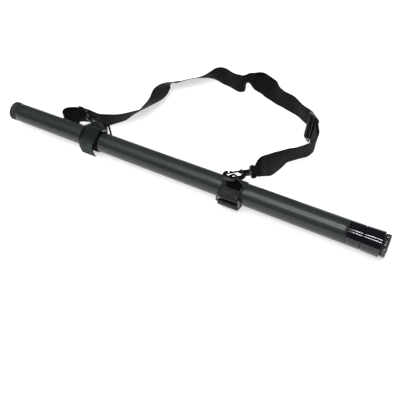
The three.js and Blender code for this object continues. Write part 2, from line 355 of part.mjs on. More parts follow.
// slide adjuster: outer frame with a centre bar
const frameOf = (origin, ex, ey, ez) => new THREE.Matrix4().makeBasis(ex, ey, ez).setPosition(origin);
const sliderFrame = frameOf(V(...SLIDER_AT), V(...SLIDER_T), V(...SLIDER_T).cross(V(...SLIDER_A)).normalize().cross(V(...SLIDER_T)).normalize(), V(...SLIDER_T).cross(V(...SLIDER_A)).normalize());
{
  const s = rounded(SLIDE_W, SLIDE_L, 3);
  const slot = 9.25;
  s.holes.push(hole(slot, 41, 1, -(1.75 + slot / 2), 0), hole(slot, 41, 1, 1.75 + slot / 2, 0));
  const g = plate(s, SLIDE_T, 0.5, 3); g.applyMatrix4(sliderFrame);
  add('slide_adjuster', g, 'gunmetal');
}

// ------------------------------------------------------------ snap hooks
// local frame: x from the webbing eye to the nose, y towards the gate, z normal
const HOOK_T = 6.2, GATE_T = 2.0, PIVOT = [18.6, 5.4], BOSS_R = 5.4;
const hookOutline = [[12.5, -4.4], [15.5, -6.8], [19.5, -9.4], [25, -10.4], [33, -10.6], [41, -10.2], [47.6, -8.2], [52.0, -3.9], [53.4, 1.4], [51.9, 6.4], [48.6, 9.6], [43.9, 10.9], [40.9, 10.2], [40.7, 7.8],
  [44.4, 7.7], [45.2, 5.4], [46.9, 2.2], [46.8, -1.4], [44.4, -4.0], [40.6, -5.0], [33, -5.2], [25, -5.1], [20.2, -4.7], [18.0, -3.6], [17.6, -1.5], [17.6, 1.8], [17.9, 3.6], [19.8, 3.5], [21.1, 4.7], [21.2, 6.4], [19.8, 8.0], [17.4, 8.3], [15.2, 6.8], [12.5, 4.4]];
const gateOutline = [[17.2, 4.2], [18.6, 3.6], [20.3, 4.4], [25, 5.3], [31, 5.6], [38, 5.2], [43.4, 5.3], [43.5, 7.2], [39, 7.5], [37.4, 8.0], [36.4, 10.4], [33.8, 10.5], [32.4, 8.3], [25, 8.2], [19.6, 7.2], [17.6, 7.0], [16.9, 5.6]];
function hookParts(side, E, L, A) {
  const ex = V(...L).normalize(), ey = V(...A); ey.addScaledVector(ex, -ey.dot(ex)).normalize();
  const ez = ex.clone().cross(ey), M = frameOf(V(...E), ex, ey, ez), put = (g) => { g.applyMatrix4(M); return g; };
  const body = cut(fuse(plate(polygon(hookOutline), HOOK_T, 0.7), rod(BOSS_R, 9.6, 14.2, 20)),
    rod(2.35, 9, 18.4, 20), box(15.0, 22.5, 2.9, 12, -1.35, 1.35), pinZ(0.9, 8, ...PIVOT, 12));
  add(`${side}_hook_body`, put(body), 'gunmetal');
  add(`${side}_hook_gate`, put(cut(plate(polygon(gateOutline), GATE_T, 0.4), pinZ(0.95, 6, ...PIVOT, 12))), 'gunmetal');
  add(`${side}_gate_pin`, put(pinZ(0.82, 6.4, ...PIVOT, 12)), 'gunmetal');
  // swivel eye: wire loop that carries the webbing, and a headed post
  const eb = V(...(side === 'right' ? RIGHT_EYE_BAR : LEFT_EYE_BAR)); eb.addScaledVector(ex, -eb.dot(ex)).normalize();
  const en = ex.clone().cross(eb), Me = frameOf(V(...E), ex, eb, en);
  const loop = [], hw = 9.5, r = 3.2;
  for (const [cx, cy, a0] of [[-6 + r, -hw + r, 180], [3 - r, -hw + r, 270], [3 - r, hw - r, 0], [-6 + r, hw - r, 90]])
    for (let k = 0; k <= 4; k++) { const q = (a0 + 90 * k / 4) * Math.PI / 180; loop.push(V(cx + r * Math.cos(q), cy + r * Math.sin(q), 0)); }
  const eye = fuse(wire(loop, 1.5, V(0, 0, 1), 10), rod(2.0, 2.4, 18.6, 16), rod(4.5, 3.0, 4.9, 20), rod(5.4, 5.8, 9.2, 20), rod(2.9, 18.2, 19.6, 16));
  eye.applyMatrix4(Me);
  add(`${side}_swivel_eye`, eye, 'gunmetal');
}
hookParts('right', RIGHT_HOOK_AT, RIGHT_HOOK_L, RIGHT_HOOK_A);
hookParts('left', LEFT_HOOK_AT, LEFT_HOOK_L, LEFT_HOOK_A);

// ------------------------------------------------------------ pole bands
const DEG = Math.PI / 180;
const polar = (t, r) => [-r * Math.cos(t * DEG), AXIS_HEIGHT + r * Math.sin(t * DEG)];
function bandParts(side, x, turn, ringAt, ringDir, ringShift, tailLocal, tailPolar) {
  const rt = rAt(x), rb = rt + 0.35, dr = rt - rAt(RIGHT_BAND_X);
  // wrap: one closed band of webbing round the pole
  const wall = (xx) => rAt(xx) + 0.35;
  const xs = [x - BAND_W / 2, x + BAND_W / 2];
  add(`${side}_band_wrap`, onAxis(turned([...xs.map((q) => [q, wall(q) + BAND_T]), ...xs.slice().reverse().map((q) => [q, wall(q)])], 44)), 'webbing');
  // rectangular loop that closes the band
  const spin = ([y, z]) => { const c = Math.cos(turn * DEG), s = Math.sin(turn * DEG); return [y * c + z * s, z * c - y * s]; };
  const d0 = [0.09, -0.996], o0 = [-0.996, -0.09], T0 = [-23.3 - dr, 2.0];
  const local = (t, o) => { const [y, z] = spin([T0[0] + d0[0] * t + o0[0] * o, T0[1] + d0[1] * t + o0[1] * o]); return [y, z + AXIS_HEIGHT]; };
  {
    const h = BUCKLE_PITCH + BAR_W, s = rounded(BUCKLE_OUT[side], h, 2.2);
    s.holes.push(hole(BUCKLE_IN[side], BUCKLE_PITCH - BAR_W, 0.8, 0, 0));
    const g = plate(s, BAR_T, 0.6, 3), d = spin(d0), o = spin(o0), c = local(BUCKLE_PITCH / 2, 0);
    g.applyMatrix4(frameOf(V(x + BUCKLE_AT[side], c[0], c[1]), V(1, 0, 0), V(0, -d[0], -d[1]), V(0, o[0], o[1])));
    add(`${side}_band_buckle`, outward(mergeVertices((() => { g.deleteAttribute('normal'); g.deleteAttribute('uv'); return g; })(), 1e-4)), 'nylon');
  }
  const P = (list) => list.map(([t, r]) => polar(t + turn, r + dr));
  // fold: holds the loop's first bar
  const over = BAR_T / 2 + 0.55 + TAIL_T / 2, sideW = BAR_W / 2 + 0.6 + TAIL_T / 2;
  const r1 = rt + 0.35 + BAND_T + 0.35 + TAIL_T / 2 - dr;       // first layer above the wrap
  add(`${side}_band_fold`, wrapStrip([...P([[41, r1], [35, r1], [29, r1 + 0.2], [23.5, r1 + 1.2], [18, r1 + 3.2]]), local(-3.3, over - 0.2), local(-1.0, over + 0.05), local(0.9, over), local(2.3, over - 0.3), local(sideW, 1.6), local(sideW + 0.05, 0), local(sideW, -1.5), local(2.3, -over + 0.3), local(1.0, -over), local(-1.2, -over - 0.05)], x + BUCKLE_AT[side], FOLD_W[side], TAIL_T), 'webbing');
  // tail: passes out through the loop, folds over its second bar and runs on
  const t2 = BUCKLE_PITCH, ease = (q) => { const c = Math.min(1, Math.max(0, q)); return c * c * (3 - 2 * c); };
  const tailX = (i) => x + TAIL_AT[side][0] + (TAIL_AT[side][1] - TAIL_AT[side][0]) * ease((i - 11) / 11);
  add(`${side}_band_tail`, wrapStrip([local(t2 + 1.0, -over - 0.1), local(t2 - 1.0, -over), local(t2 - 2.3, -over + 0.3), local(t2 - sideW, -1.5), local(t2 - sideW - 0.05, 0), local(t2 - sideW, 1.6), local(t2 - 2.3, over - 0.3), local(t2 - 0.9, over), local(t2 + 1.0, over), ...tailLocal.map(([a, b]) => local(t2 + a, b)), ...tailPolar.map(([t, r]) => polar(t, r))], tailX, TAIL_W[side], TAIL_T), 'tape');
  // D-ring and the tab that hinges it
  const barR = rt + 0.35 + BAND_T + 0.35 + RING_WIRE_R, bar = polar(ringAt, barR);
  const rx = V(1, 0, 0), ry = V(0, Math.cos(ringDir * DEG), Math.sin(ringDir * DEG)), ringX = x + ringShift;
  // three-cornered ring: straight bar, straight legs, rounded corners
  const apex = [0, RING_TALL], base = RING_BASE, loop = [];
  const corner = (p, a, b, r, n) => {
    const P = new THREE.Vector2(...p), u = new THREE.Vector2(...a).sub(P).normalize(), w = new THREE.Vector2(...b).sub(P).normalize();
    const half = Math.acos(u.dot(w)) / 2, c = u.clone().add(w).normalize().multiplyScalar(r / Math.sin(half)).add(P);
    const s = P.clone().addScaledVector(u, r / Math.tan(half)).sub(c), e = P.clone().addScaledVector(w, r / Math.tan(half)).sub(c);
    const sweep = Math.atan2(s.x * e.y - s.y * e.x, s.dot(e));
    for (let k = 0; k <= n; k++) { const q = sweep * k / n; loop.push([c.x + s.x * Math.cos(q) - s.y * Math.sin(q), c.y + s.x * Math.sin(q) + s.y * Math.cos(q)]); }
  };
  corner([-base, 0], apex, [base, 0], 3.6, 6);
  for (let k = 1; k < 4; k++) loop.push([-12.6 + 25.2 * k / 4, 0]);
  corner([base, 0], [-base, 0], apex, 3.6, 6);
  corner(apex, [base, 0], [-base, 0], 4.2, 6);
  add(`${side}_dring`, wire(loop.map(([a, h]) => V(ringX, bar[0], bar[1]).addScaledVector(rx, a).addScaledVector(ry, h)), RING_WIRE_R, rx.clone().cross(ry), 10), 'gunmetal');
  const lay = rt + 0.35 + BAND_T + 0.35 + 0.65, hump = RING_WIRE_R + 0.4 + 0.65;
  const around = (q) => { const a = (ringAt) * DEG, ur = [-Math.cos(a), Math.sin(a)], ut = [Math.sin(a), Math.cos(a)]; return [bar[0] + hump * (ur[0] * Math.cos(q * DEG) + ut[0] * Math.sin(q * DEG)), bar[1] + hump * (ur[1] * Math.cos(q * DEG) + ut[1] * Math.sin(q * DEG))]; };
  add(`${side}_dring_tab`, wrapStrip([polar(ringAt - 19, lay), polar(ringAt - 16.5, lay), polar(ringAt - 13.5, lay + 0.1), polar(ringAt - 10, lay + 1.1), around(-80), around(-55), around(-28), around(0), around(28), around(55), around(80), polar(ringAt + 10, lay + 1.1), polar(ringAt + 13.5, lay + 0.1), polar(ringAt + 20, lay), polar(ringAt + 27, lay)], ringX, 23, 1.3), 'webbing');
}
// right band: the tail doubles back under the pole and reaches the surface
bandParts('right', RIGHT_BAND_X, RIGHT_BAND_TURN, RIGHT_RING_AT, 90, 2.5, [[2.6, 2.5], [4.4, 2.1]], [[-38, 28.2], [-47, 27.7], [-58, 27.0], [-71, 26.3], [-87, 25.8], [-103, 24.8], [-118, 23.4], [-133, 22.2], [-148, 21.3], [-160, 21.0], [-172, 21.0]]);
// left band: the tail crosses the top and front, and its end stands off below
bandParts('left', LEFT_BAND_X, LEFT_BAND_TURN, LEFT_RING_AT, 10, 3, [[2.6, 2.55], [4.2, 2.0], [5.4, 0.8]], [[77, 24.9], [70, 23.0], [62, 21.3], [54, 20.2], [46, 19.65], [35, 19.5], [24, 19.5], [12, 19.5], [0, 19.5], [-12, 19.55], [-24, 19.9], [-34, 20.9], [-43, 22.6], [-51, 24.6], [-58, 26.9], [-64, 29.0]]);

const group = new THREE.Group();
group.name = 'telescopic_pole_with_strap';
for (const m of parts) { m.geometry.translate(-END_X, 0, -AXIS_HEIGHT); group.add(m); }
export default group;
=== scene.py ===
import bpy
import math
import random
import numpy as np
from mathutils import Vector, Matrix


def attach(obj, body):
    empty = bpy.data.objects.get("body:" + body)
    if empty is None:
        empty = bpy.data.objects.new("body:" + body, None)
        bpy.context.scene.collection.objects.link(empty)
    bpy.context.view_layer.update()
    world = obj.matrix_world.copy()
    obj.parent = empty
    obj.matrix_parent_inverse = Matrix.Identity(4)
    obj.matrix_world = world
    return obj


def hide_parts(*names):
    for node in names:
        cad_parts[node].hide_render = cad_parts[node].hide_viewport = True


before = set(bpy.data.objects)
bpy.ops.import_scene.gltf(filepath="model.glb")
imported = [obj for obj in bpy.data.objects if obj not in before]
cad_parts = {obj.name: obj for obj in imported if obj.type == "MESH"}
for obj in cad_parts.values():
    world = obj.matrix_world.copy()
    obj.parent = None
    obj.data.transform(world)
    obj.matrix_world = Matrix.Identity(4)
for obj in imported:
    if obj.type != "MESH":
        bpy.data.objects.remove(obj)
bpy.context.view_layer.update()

random.seed(7)
rng = np.random.default_rng(7)
MM = 0.001
scene = bpy.context.scene

# ------------------------------------------------------------- dimensions, mm
# Row frame: X along the pole, butt end face at x = 0, Z up, axis on y = z = 0.
END = 308.5
AXIS_UP = 26.5
TOP_X, TOP_R, BUTT_X, BUTT_R, BUTT_WALL = -355.9 - END, 15.58, 247.6 - END, 19.0, 1.2
FLOOR_Z = -26.9
BAND_W, BAND_T, TAIL_T = 35.0, 1.6, 1.4
FOLD_W = {"right": 32.6, "left": 28.8}
TAIL_W = {"right": 32.0, "left": 26.0}
TAIL_AT = {"right": (0.0, 0.0), "left": (4.2, -3.8)}
BUCKLE_AT = {"right": 0.0, "left": 3.0}
LEFT_BAND_X, RIGHT_BAND_X = -202.5 - END, 60.0 - END
RING_WIRE_R, BUCKLE_PITCH, BAR_W, BAR_T = 1.8, 13.0, 3.5, 2.6
SECTIONS = {
    "section_two": (-339.4 - END, 12.9, 239.2 - END, 14.3),
    "section_three": (-340.0 - END, 10.6, 239.2 - END, 11.75),
    "section_four": (-340.6 - END, 8.5, 239.2 - END, 9.5),
    "tip_section": (-338.2 - END, 6.6, 239.2 - END, 7.4),
}
WEB_T = 1.4
# shoulder strap stations: centre, direction across, half width
STRAP = [
    [-570.52,51.11,-0.56,0.4556,-0.1162,-0.8826,11.5], [-566.7,50.09,1.55,0.4433,-0.0882,-0.892,10.5],
    [-562.79,49.36,3.46,0.2805,-0.0709,-0.9572,9.2], [-558.57,47.92,4.09,0.0764,-0.0407,-0.9962,7.6],
    [-557.62,47.43,3.93,-0.1421,0.0416,-0.989,7.6], [-556.89,46.56,3.79,-0.1421,0.0416,-0.989,7.6],
    [-556.57,45.53,3.7,-0.1421,0.0416,-0.989,7.6], [-556.67,44.39,3.67,-0.1421,0.0416,-0.989,7.6],
    [-557.2,43.39,3.7,-0.1421,0.0416,-0.989,7.6], [-558.03,42.69,3.79,-0.1421,0.0416,-0.989,7.6],
    [-559.1,42.35,3.93,-0.1421,0.0416,-0.989,7.6], [-560.17,42.45,4.09,-0.1049,0.0409,-0.9936,7.6],
    [-565.41,42.47,4.6,-0.0059,0.1447,-0.9895,9.12], [-567.41,36.13,3.21,0.0341,0.2699,-0.9623,10.82],
    [-569.88,29.64,0.85,0.2112,0.311,-0.9266,12.72], [-574.68,26.13,-1.8,0.3299,0.2314,-0.9152,14.92],
    [-580.24,23.31,-4.49,0.3449,0.1205,-0.9309,16.95], [-586.23,23.13,-6.47,0.2229,-0.055,-0.9733,18.46],
    [-590.96,27.69,-7.19,0.0451,-0.0459,-0.9979,19.0], [-591.18,34.22,-7.2,-0.0227,-0.0027,-0.9997,19.0],
    [-587.57,39.72,-7.3,-0.0532,0.0351,-0.998,19.0], [-582.64,44.07,-7.31,-0.061,0.0803,-0.9949,19.0],
    [-577.15,47.58,-7.3,-0.068,0.1146,-0.9911,19.0], [-571.28,50.45,-7.35,-0.0698,0.1465,-0.9867,19.0],
    [-565.09,52.61,-7.41,-0.0549,0.1792,-0.9823,19.0], [-558.67,53.96,-7.42,-0.0276,0.2064,-0.9781,19.0],
    [-552.17,54.42,-7.39,-0.0006,0.227,-0.9739,19.0], [-545.68,54.15,-7.38,0.0015,0.243,-0.97,19.0],
    [-539.1,53.77,-7.54,-0.0369,0.2527,-0.9668,19.0], [-532.49,54.05,-7.91,-0.1007,0.2389,-0.9658,19.0],
    [-526.38,56.0,-7.95,-0.1651,0.207,-0.9643,19.0], [-521.03,59.78,-8.18,-0.2344,0.2044,-0.9504,19.0],
    [-516.18,64.28,-8.62,-0.3054,0.227,-0.9248,19.0], [-511.59,68.9,-9.05,-0.3546,0.2547,-0.8996,19.0],
    [-507.17,73.65,-9.38,-0.382,0.2789,-0.8811,19.0], [-502.89,78.62,-9.61,-0.4082,0.2822,-0.8682,19.0],
    [-498.97,83.86,-9.84,-0.4544,0.2498,-0.855,19.0], [-495.67,89.45,-10.24,-0.5192,0.1919,-0.8328,19.0],
    [-493.06,95.38,-10.89,-0.5861,0.1459,-0.797,19.0], [-490.89,101.52,-11.63,-0.6398,0.1383,-0.756,19.0],
    [-488.88,107.76,-12.25,-0.6727,0.1619,-0.722,19.0], [-486.84,113.98,-12.62,-0.6907,0.1749,-0.7017,19.0],
    [-484.98,120.23,-12.96,-0.7168,0.1395,-0.6832,19.0], [-483.59,126.56,-13.53,-0.755,0.0683,-0.6522,19.0],
    [-482.77,132.99,-14.35,-0.7939,0.0077,-0.608,19.0], [-482.27,139.47,-15.2,-0.827,-0.0142,-0.5621,19.0],
    [-481.87,145.95,-15.93,-0.8526,-0.0084,-0.5224,19.0], [-481.46,152.4,-16.53,-0.8715,-0.0123,-0.4902,19.0],
    [-481.3,158.87,-17.09,-0.8863,-0.0535,-0.46,19.0], [-481.64,165.4,-17.66,-0.8933,-0.1327,-0.4294,19.0],
    [-482.75,172.03,-18.21,-0.8899,-0.2189,-0.4002,19.0], [-484.49,178.74,-18.64,-0.8904,-0.2553,-0.377,19.0],
    [-486.26,185.42,-18.9,-0.9075,-0.2111,-0.3632,19.0], [-487.4,191.95,-18.95,-0.9301,-0.0694,-0.3606,19.0],
    [-487.26,198.22,-18.76,-0.9093,0.1892,-0.3706,19.0], [-485.2,204.11,-18.15,-0.7722,0.4911,-0.4032,19.0],
    [-481.1,209.21,-16.72,-0.5252,0.7025,-0.4803,19.0], [-475.68,212.82,-14.55,-0.2903,0.7472,-0.5978,19.0],
    [-469.93,215.66,-13.55,-0.3047,0.6946,-0.6517,19.0], [-464.93,219.47,-13.47,-0.4954,0.57,-0.6555,19.0],
    [-460.84,224.57,-13.62,-0.6155,0.4499,-0.6471,19.0], [-457.05,230.11,-13.87,-0.6383,0.4373,-0.6335,19.0],
    [-452.99,235.31,-14.12,-0.6095,0.4937,-0.6203,19.0], [-448.55,240.07,-14.28,-0.5568,0.5621,-0.6116,19.0],
    [-443.76,244.45,-14.23,-0.493,0.6162,-0.6142,19.0], [-438.69,248.55,-13.9,-0.4294,0.6452,-0.632,19.0],
    [-433.45,252.44,-13.32,-0.3675,0.6514,-0.6638,19.0], [-428.14,256.14,-12.57,-0.2828,0.6502,-0.7052,19.0],
    [-422.64,259.41,-11.58,-0.1672,0.6298,-0.7586,19.0], [-416.86,262.17,-10.23,-0.0554,0.5483,-0.8345,19.0],
    [-410.71,264.44,-8.68,0.0358,0.3843,-0.9225,19.0], [-404.35,266.06,-7.73,0.0882,0.1815,-0.9794,19.0],
    [-398.02,266.72,-7.5,0.0781,0.032,-0.9964,19.0], [-391.88,266.27,-7.16,0.0336,-0.0074,-0.9994,19.0],
    [-385.75,264.98,-7.08,-0.0002,0.016,-0.9999,19.0], [-379.36,263.23,-7.21,-0.0195,0.0494,-0.9986,19.0],
    [-372.45,261.41,-7.46,-0.0345,0.0558,-0.9978,19.0], [-365.0,260.0,-7.46,-0.0342,0.0038,-0.9994,19.0],
    [-358.08,260.02,-7.46,0.0451,-0.0583,-0.9973,19.0], [-353.04,262.6,-7.5,0.1425,0.0818,-0.9864,19.0],
    [-350.57,268.2,-6.25,-0.0525,0.2086,-0.9766,19.0], [-349.12,275.08,-5.05,-0.2582,0.1793,-0.9493,19.0],
    [-346.72,281.02,-4.88,-0.4237,0.2074,-0.8817,19.0], [-341.92,284.32,-6.33,-0.3664,0.1763,-0.9136,19.0],
    [-335.39,285.23,-8.37,-0.2902,-0.1388,-0.9468,19.0], [-328.26,284.46,-9.29,-0.2346,-0.3968,-0.8874,19.0],
    [-321.59,282.67,-9.33,-0.1479,-0.444,-0.8838,19.0], [-315.56,280.32,-9.16,-0.1167,-0.4339,-0.8934,19.0],
    [-309.7,277.72,-9.28,-0.1956,-0.4191,-0.8866,19.0], [-303.77,274.99,-9.59,-0.2686,-0.4145,-0.8695,19.0],
    [-297.96,271.97,-9.22,-0.2407,-0.3868,-0.8902,19.0], [-292.47,268.47,-8.5,-0.1231,-0.3406,-0.9321,19.0],
    [-287.25,264.63,-8.13,-0.0054,-0.2942,-0.9557,19.0], [-282.04,260.82,-7.84,0.0624,-0.216,-0.9744,19.0],
    [-276.59,257.42,-7.54,0.0642,-0.0974,-0.9932,19.0], [-270.7,254.73,-7.27,0.0147,-0.0036,-0.9999,19.0],
    [-264.47,252.65,-7.4,-0.017,0.0242,-0.9996,19.0], [-258.12,250.92,-7.45,-0.012,0.0087,-0.9999,19.0],
    [-251.81,249.24,-7.44,-0.001,-0.0092,-1.0,19.0], [-245.63,247.16,-7.45,0.0035,0.0063,-1.0,19.0],
    [-239.65,244.47,-7.44,0.0209,0.0479,-0.9986,19.0], [-233.94,241.29,-7.47,0.0469,0.0804,-0.9957,19.0],
    [-228.48,237.8,-7.49,0.0596,0.0901,-0.9941,19.0], [-223.0,234.29,-7.48,0.0513,0.0908,-0.9945,19.0],
    [-217.13,231.11,-7.46,0.0347,0.0834,-0.9959,19.0], [-211.05,228.17,-7.44,0.0338,0.0549,-0.9979,19.0],
    [-205.88,224.61,-7.45,0.0488,-0.01,-0.9988,19.0], [-202.87,219.49,-7.18,0.0481,-0.0924,-0.9946,19.0],
    [-203.25,211.88,-6.27,-0.0317,-0.245,-0.969,19.0], [-200.31,206.76,-4.04,0.0004,-0.3994,-0.9168,19.0],
    [-200.33,205.03,-3.29,0.0004,-0.3994,-0.9168,19.0], [-202.66,199.74,-0.98,0.0004,-0.3994,-0.9168,19.0],
    [-202.54,197.98,-0.22,0.0004,-0.3994,-0.9168,19.0], [-200.35,194.7,1.21,0.0004,-0.3994,-0.9168,19.0],
    [-198.16,191.41,2.65,0.0004,-0.3994,-0.9168,19.0], [-196.51,190.51,3.04,0.0004,-0.3994,-0.9168,19.0],
    [-190.31,190.01,3.26,0.0004,-0.3994,-0.9168,19.0], [-188.71,189.19,3.62,0.0004,-0.3994,-0.9168,19.0],
    [-185.43,184.26,5.77,-0.0692,-0.248,-0.9663,19.0], [-183.91,178.32,6.06,-0.1538,0.0653,-0.9859,19.0],
    [-181.35,173.06,4.39,-0.3022,0.2494,-0.92,19.0], [-178.61,168.3,1.61,-0.346,0.337,-0.8756,19.0],
    [-176.22,163.5,-1.32,-0.2699,0.3855,-0.8823,19.0], [-175.01,158.53,-3.76,-0.1224,0.3607,-0.9246,19.0],
    [-175.77,153.32,-5.35,-0.0603,0.2331,-0.9706,19.0], [-178.21,147.97,-6.1,-0.1071,0.1432,-0.9839,19.0],
    [-181.5,143.04,-6.22,-0.1617,0.1154,-0.9801,19.0], [-185.25,138.37,-6.07,-0.1825,0.1241,-0.9754,19.0],
    [-189.14,133.7,-5.98,-0.1815,0.1407,-0.9733,19.0], [-193.01,129.03,-5.97,-0.1883,0.1389,-0.9722,19.0],
    [-196.92,124.44,-5.8,-0.2068,0.1096,-0.9722,19.0], [-200.95,119.87,-5.32,-0.2037,0.0634,-0.977,19.0],
    [-204.73,114.94,-4.79,-0.1481,0.0134,-0.9889,19.0], [-207.72,109.43,-4.44,-0.0693,-0.0388,-0.9968,18.96],
    [-209.99,103.65,-3.98,-0.011,-0.1224,-0.9924,18.85], [-211.95,97.93,-2.98,0.0282,-0.2341,-0.9718,18.74],
    [-213.79,92.32,-1.36,0.0707,-0.327,-0.9424,18.62], [-215.5,86.77,0.63,0.1246,-0.3778,-0.9175,18.48],
    [-217.08,81.24,2.75,0.1788,-0.4016,-0.8982,18.3], [-218.61,75.77,4.93,0.2227,-0.4264,-0.8767,18.08],
    [-220.22,70.42,7.22,0.2525,-0.4659,-0.848,17.79], [-222.06,65.25,9.68,0.2798,-0.4975,-0.8211,17.37],
    [-224.0,59.99,12.25,0.3301,-0.4797,-0.813,16.71], [-225.41,54.35,14.75,0.3928,-0.3921,-0.8319,15.78],
    [-225.81,48.35,16.88,0.447,-0.2848,-0.848,14.32], [-225.92,42.55,18.44,0.5225,-0.252,-0.8146,12.13],
    [-226.77,37.38,19.66,0.5718,-0.4001,-0.7162,9.79], [-229.39,33.17,20.92,0.5212,-0.5319,-0.6674,7.6],
    [-230.06,31.97,21.41,0.5087,-0.5521,-0.6606,7.6], [-230.16,31.06,22.08,0.5087,-0.5521,-0.6606,7.6],
    [-229.89,30.37,22.87,0.5087,-0.5521,-0.6606,7.6], [-229.28,29.92,23.72,0.5087,-0.5521,-0.6606,7.6],
    [-228.41,29.84,24.45,0.5087,-0.5521,-0.6606,7.6], [-227.48,30.12,24.94,0.5087,-0.5521,-0.6606,7.6],
    [-226.54,30.73,25.15,0.5087,-0.5521,-0.6606,7.6], [-226.05,31.23,25.11,0.5183,-0.5378,-0.6649,7.6],
    [-222.45,36.89,23.35,0.5505,-0.4553,-0.6998,9.79], [-221.07,43.0,21.37,0.5133,-0.3371,-0.7893,12.13],
    [-220.75,49.04,19.28,0.4428,-0.3387,-0.8302,14.32], [-220.33,54.56,17.05,0.3874,-0.4196,-0.8209,15.78],
    [-219.26,59.69,14.53,0.3342,-0.489,-0.8057,16.71], [-217.8,64.81,11.88,0.2949,-0.4933,-0.8183,17.37],
    [-216.31,70.08,9.33,0.2693,-0.4547,-0.8489,17.79], [-215.03,75.46,7.05,0.2394,-0.411,-0.8797,18.08],
    [-213.81,80.87,4.97,0.1946,-0.384,-0.9026,18.3], [-212.5,86.23,3.02,0.1392,-0.3571,-0.9236,18.48],
    [-211.02,91.54,1.27,0.0851,-0.2966,-0.9512,18.62], [-209.35,96.88,-0.02,0.0446,-0.1834,-0.982,18.74],
    [-207.47,102.27,-0.58,0.0152,-0.0411,-0.999,18.85], [-205.26,107.49,-0.4,-0.0302,0.0545,-0.9981,18.96],
    [-202.4,112.25,-0.18,-0.0984,0.0995,-0.9902,19.0], [-198.7,116.58,-0.14,-0.1487,0.1364,-0.9794,19.0],
    [-194.57,120.93,-0.16,-0.1662,0.1583,-0.9733,19.0], [-190.54,125.54,-0.07,-0.1626,0.1684,-0.9722,19.0],
    [-186.64,130.27,0.13,-0.1662,0.1568,-0.9736,19.0], [-182.73,135.04,0.12,-0.1728,0.1326,-0.976,19.0],
    [-178.82,140.05,0.07,-0.1503,0.1271,-0.9804,19.0], [-175.26,145.64,0.35,-0.116,0.1254,-0.9853,19.0],
    [-172.59,152.1,0.87,-0.0925,0.1302,-0.9872,19.0], [-171.87,158.9,1.78,-0.1127,0.1619,-0.9803,19.0],
    [-173.54,165.09,3.13,-0.1899,0.1876,-0.9637,19.0], [-176.31,170.36,4.89,-0.2608,0.1895,-0.9466,19.0],
    [-179.16,175.05,6.67,-0.2298,0.1096,-0.9671,19.0], [-181.67,179.73,7.23,-0.0743,-0.161,-0.9842,19.0],
    [-183.72,185.22,5.35,-0.0176,-0.3634,-0.9315,19.0], [-186.33,189.13,3.65,0.0004,-0.3994,-0.9168,19.0],
    [-189.76,194.19,1.44,0.0004,-0.3994,-0.9168,19.0], [-191.58,195.42,0.9,0.0004,-0.3994,-0.9168,19.0],
    [-193.5,195.31,0.95,0.0004,-0.3994,-0.9168,19.0], [-195.06,194.49,1.31,0.0004,-0.3994,-0.9168,19.0],
    [-196.52,194.05,1.5,0.0004,-0.3994,-0.9168,19.0], [-197.97,194.64,1.24,0.0004,-0.3994,-0.9168,19.0],
    [-199.33,196.67,0.36,0.0004,-0.3994,-0.9168,19.0], [-199.24,198.12,-0.27,0.0004,-0.3994,-0.9168,19.0],
    [-198.14,199.11,-0.71,0.0004,-0.3994,-0.9168,19.0], [-195.24,200.73,-1.41,0.0004,-0.3994,-0.9168,19.0],
    [-193.6,201.27,-1.65,0.0004,-0.3994,-0.9168,19.0], [-191.85,200.75,-1.42,0.0004,-0.3994,-0.9168,19.0],
    [-190.57,199.1,-0.7,0.0004,-0.3994,-0.9168,19.0], [-188.01,195.17,1.02,0.0004,-0.3994,-0.9168,19.0],
    [-184.88,190.47,3.06,0.0004,-0.3994,-0.9168,19.0], [-180.71,184.22,5.79,0.0004,-0.3994,-0.9168,19.0],
]



def r_at(x):
    return TOP_R + (BUTT_R - TOP_R) * (x - TOP_X) / (BUTT_X - TOP_X)


# ------------------------------------------------------------- mesh helpers
def make(name, verts, faces, uvs=None, material=None, smooth=True, attrs=None):
    """Mesh object from millimetre points; uvs is one (u, v) per vertex, in metres."""
    me = bpy.data.meshes.new(name)
    v = np.asarray(verts, float) * MM
    me.from_pydata(v.tolist(), [], [list(map(int, f)) for f in faces])
    if uvs is not None:
        layer = me.uv_layers.new(name="UVMap")
        uv = np.asarray(uvs, float)
        loops = np.zeros(len(me.loops), int)
        me.loops.foreach_get("vertex_index", loops)
        layer.data.foreach_set("uv", uv[loops].ravel())
    for key, values in (attrs or {}).items():
        a = me.attributes.new(key, "FLOAT", "POINT")
        a.data.foreach_set("value", np.asarray(values, np.float32))
    me.validate()
    me.update()
    if smooth:
        me.polygons.foreach_set("use_smooth", [True] * len(me.polygons))
    ob = bpy.data.objects.new(name, me)
    scene.collection.objects.link(ob)
    if material is not None:
        me.materials.append(material)
    return ob


def round_profile(points, radius):
    """Replaces the named corners of a profile by small arcs. points: (x, r, rad or None)."""
    out = []
    n = len(points)
    for i, p in enumerate(points):
        x, r = p[0], p[1]
        rad = p[2] if len(p) > 2 else radius
        if not rad or i in (0, n - 1) and len(p) < 4:
            out.append((x, r))
            continue
        a, b = points[(i - 1) % n], points[(i + 1) % n]
        P = np.array([x, r]); u = np.array([a[0] - x, a[1] - r]); w = np.array([b[0] - x, b[1] - r])
        lu, lw = np.hypot(*u), np.hypot(*w)
        u, w = u / lu, w / lw
        half = math.acos(max(-1, min(1, float(u @ w)))) / 2
        if half > 1.5 or half < 0.05:
            out.append((x, r))
            continue
        t = min(rad / math.tan(half), 0.45 * lu, 0.45 * lw)
        rad = t * math.tan(half)
        c = P + (u + w) / np.hypot(*(u + w)) * rad / math.sin(half)
        s, e = P + u * t - c, P + w * t - c
        sweep = math.atan2(s[0] * e[1] - s[1] * e[0], float(s @ e))
        for k in range(6):
            q = sweep * k / 5
            out.append((c[0] + s[0] * math.cos(q) - s[1] * math.sin(q), c[1] + s[0] * math.sin(q) + s[1] * math.cos(q)))
    return out


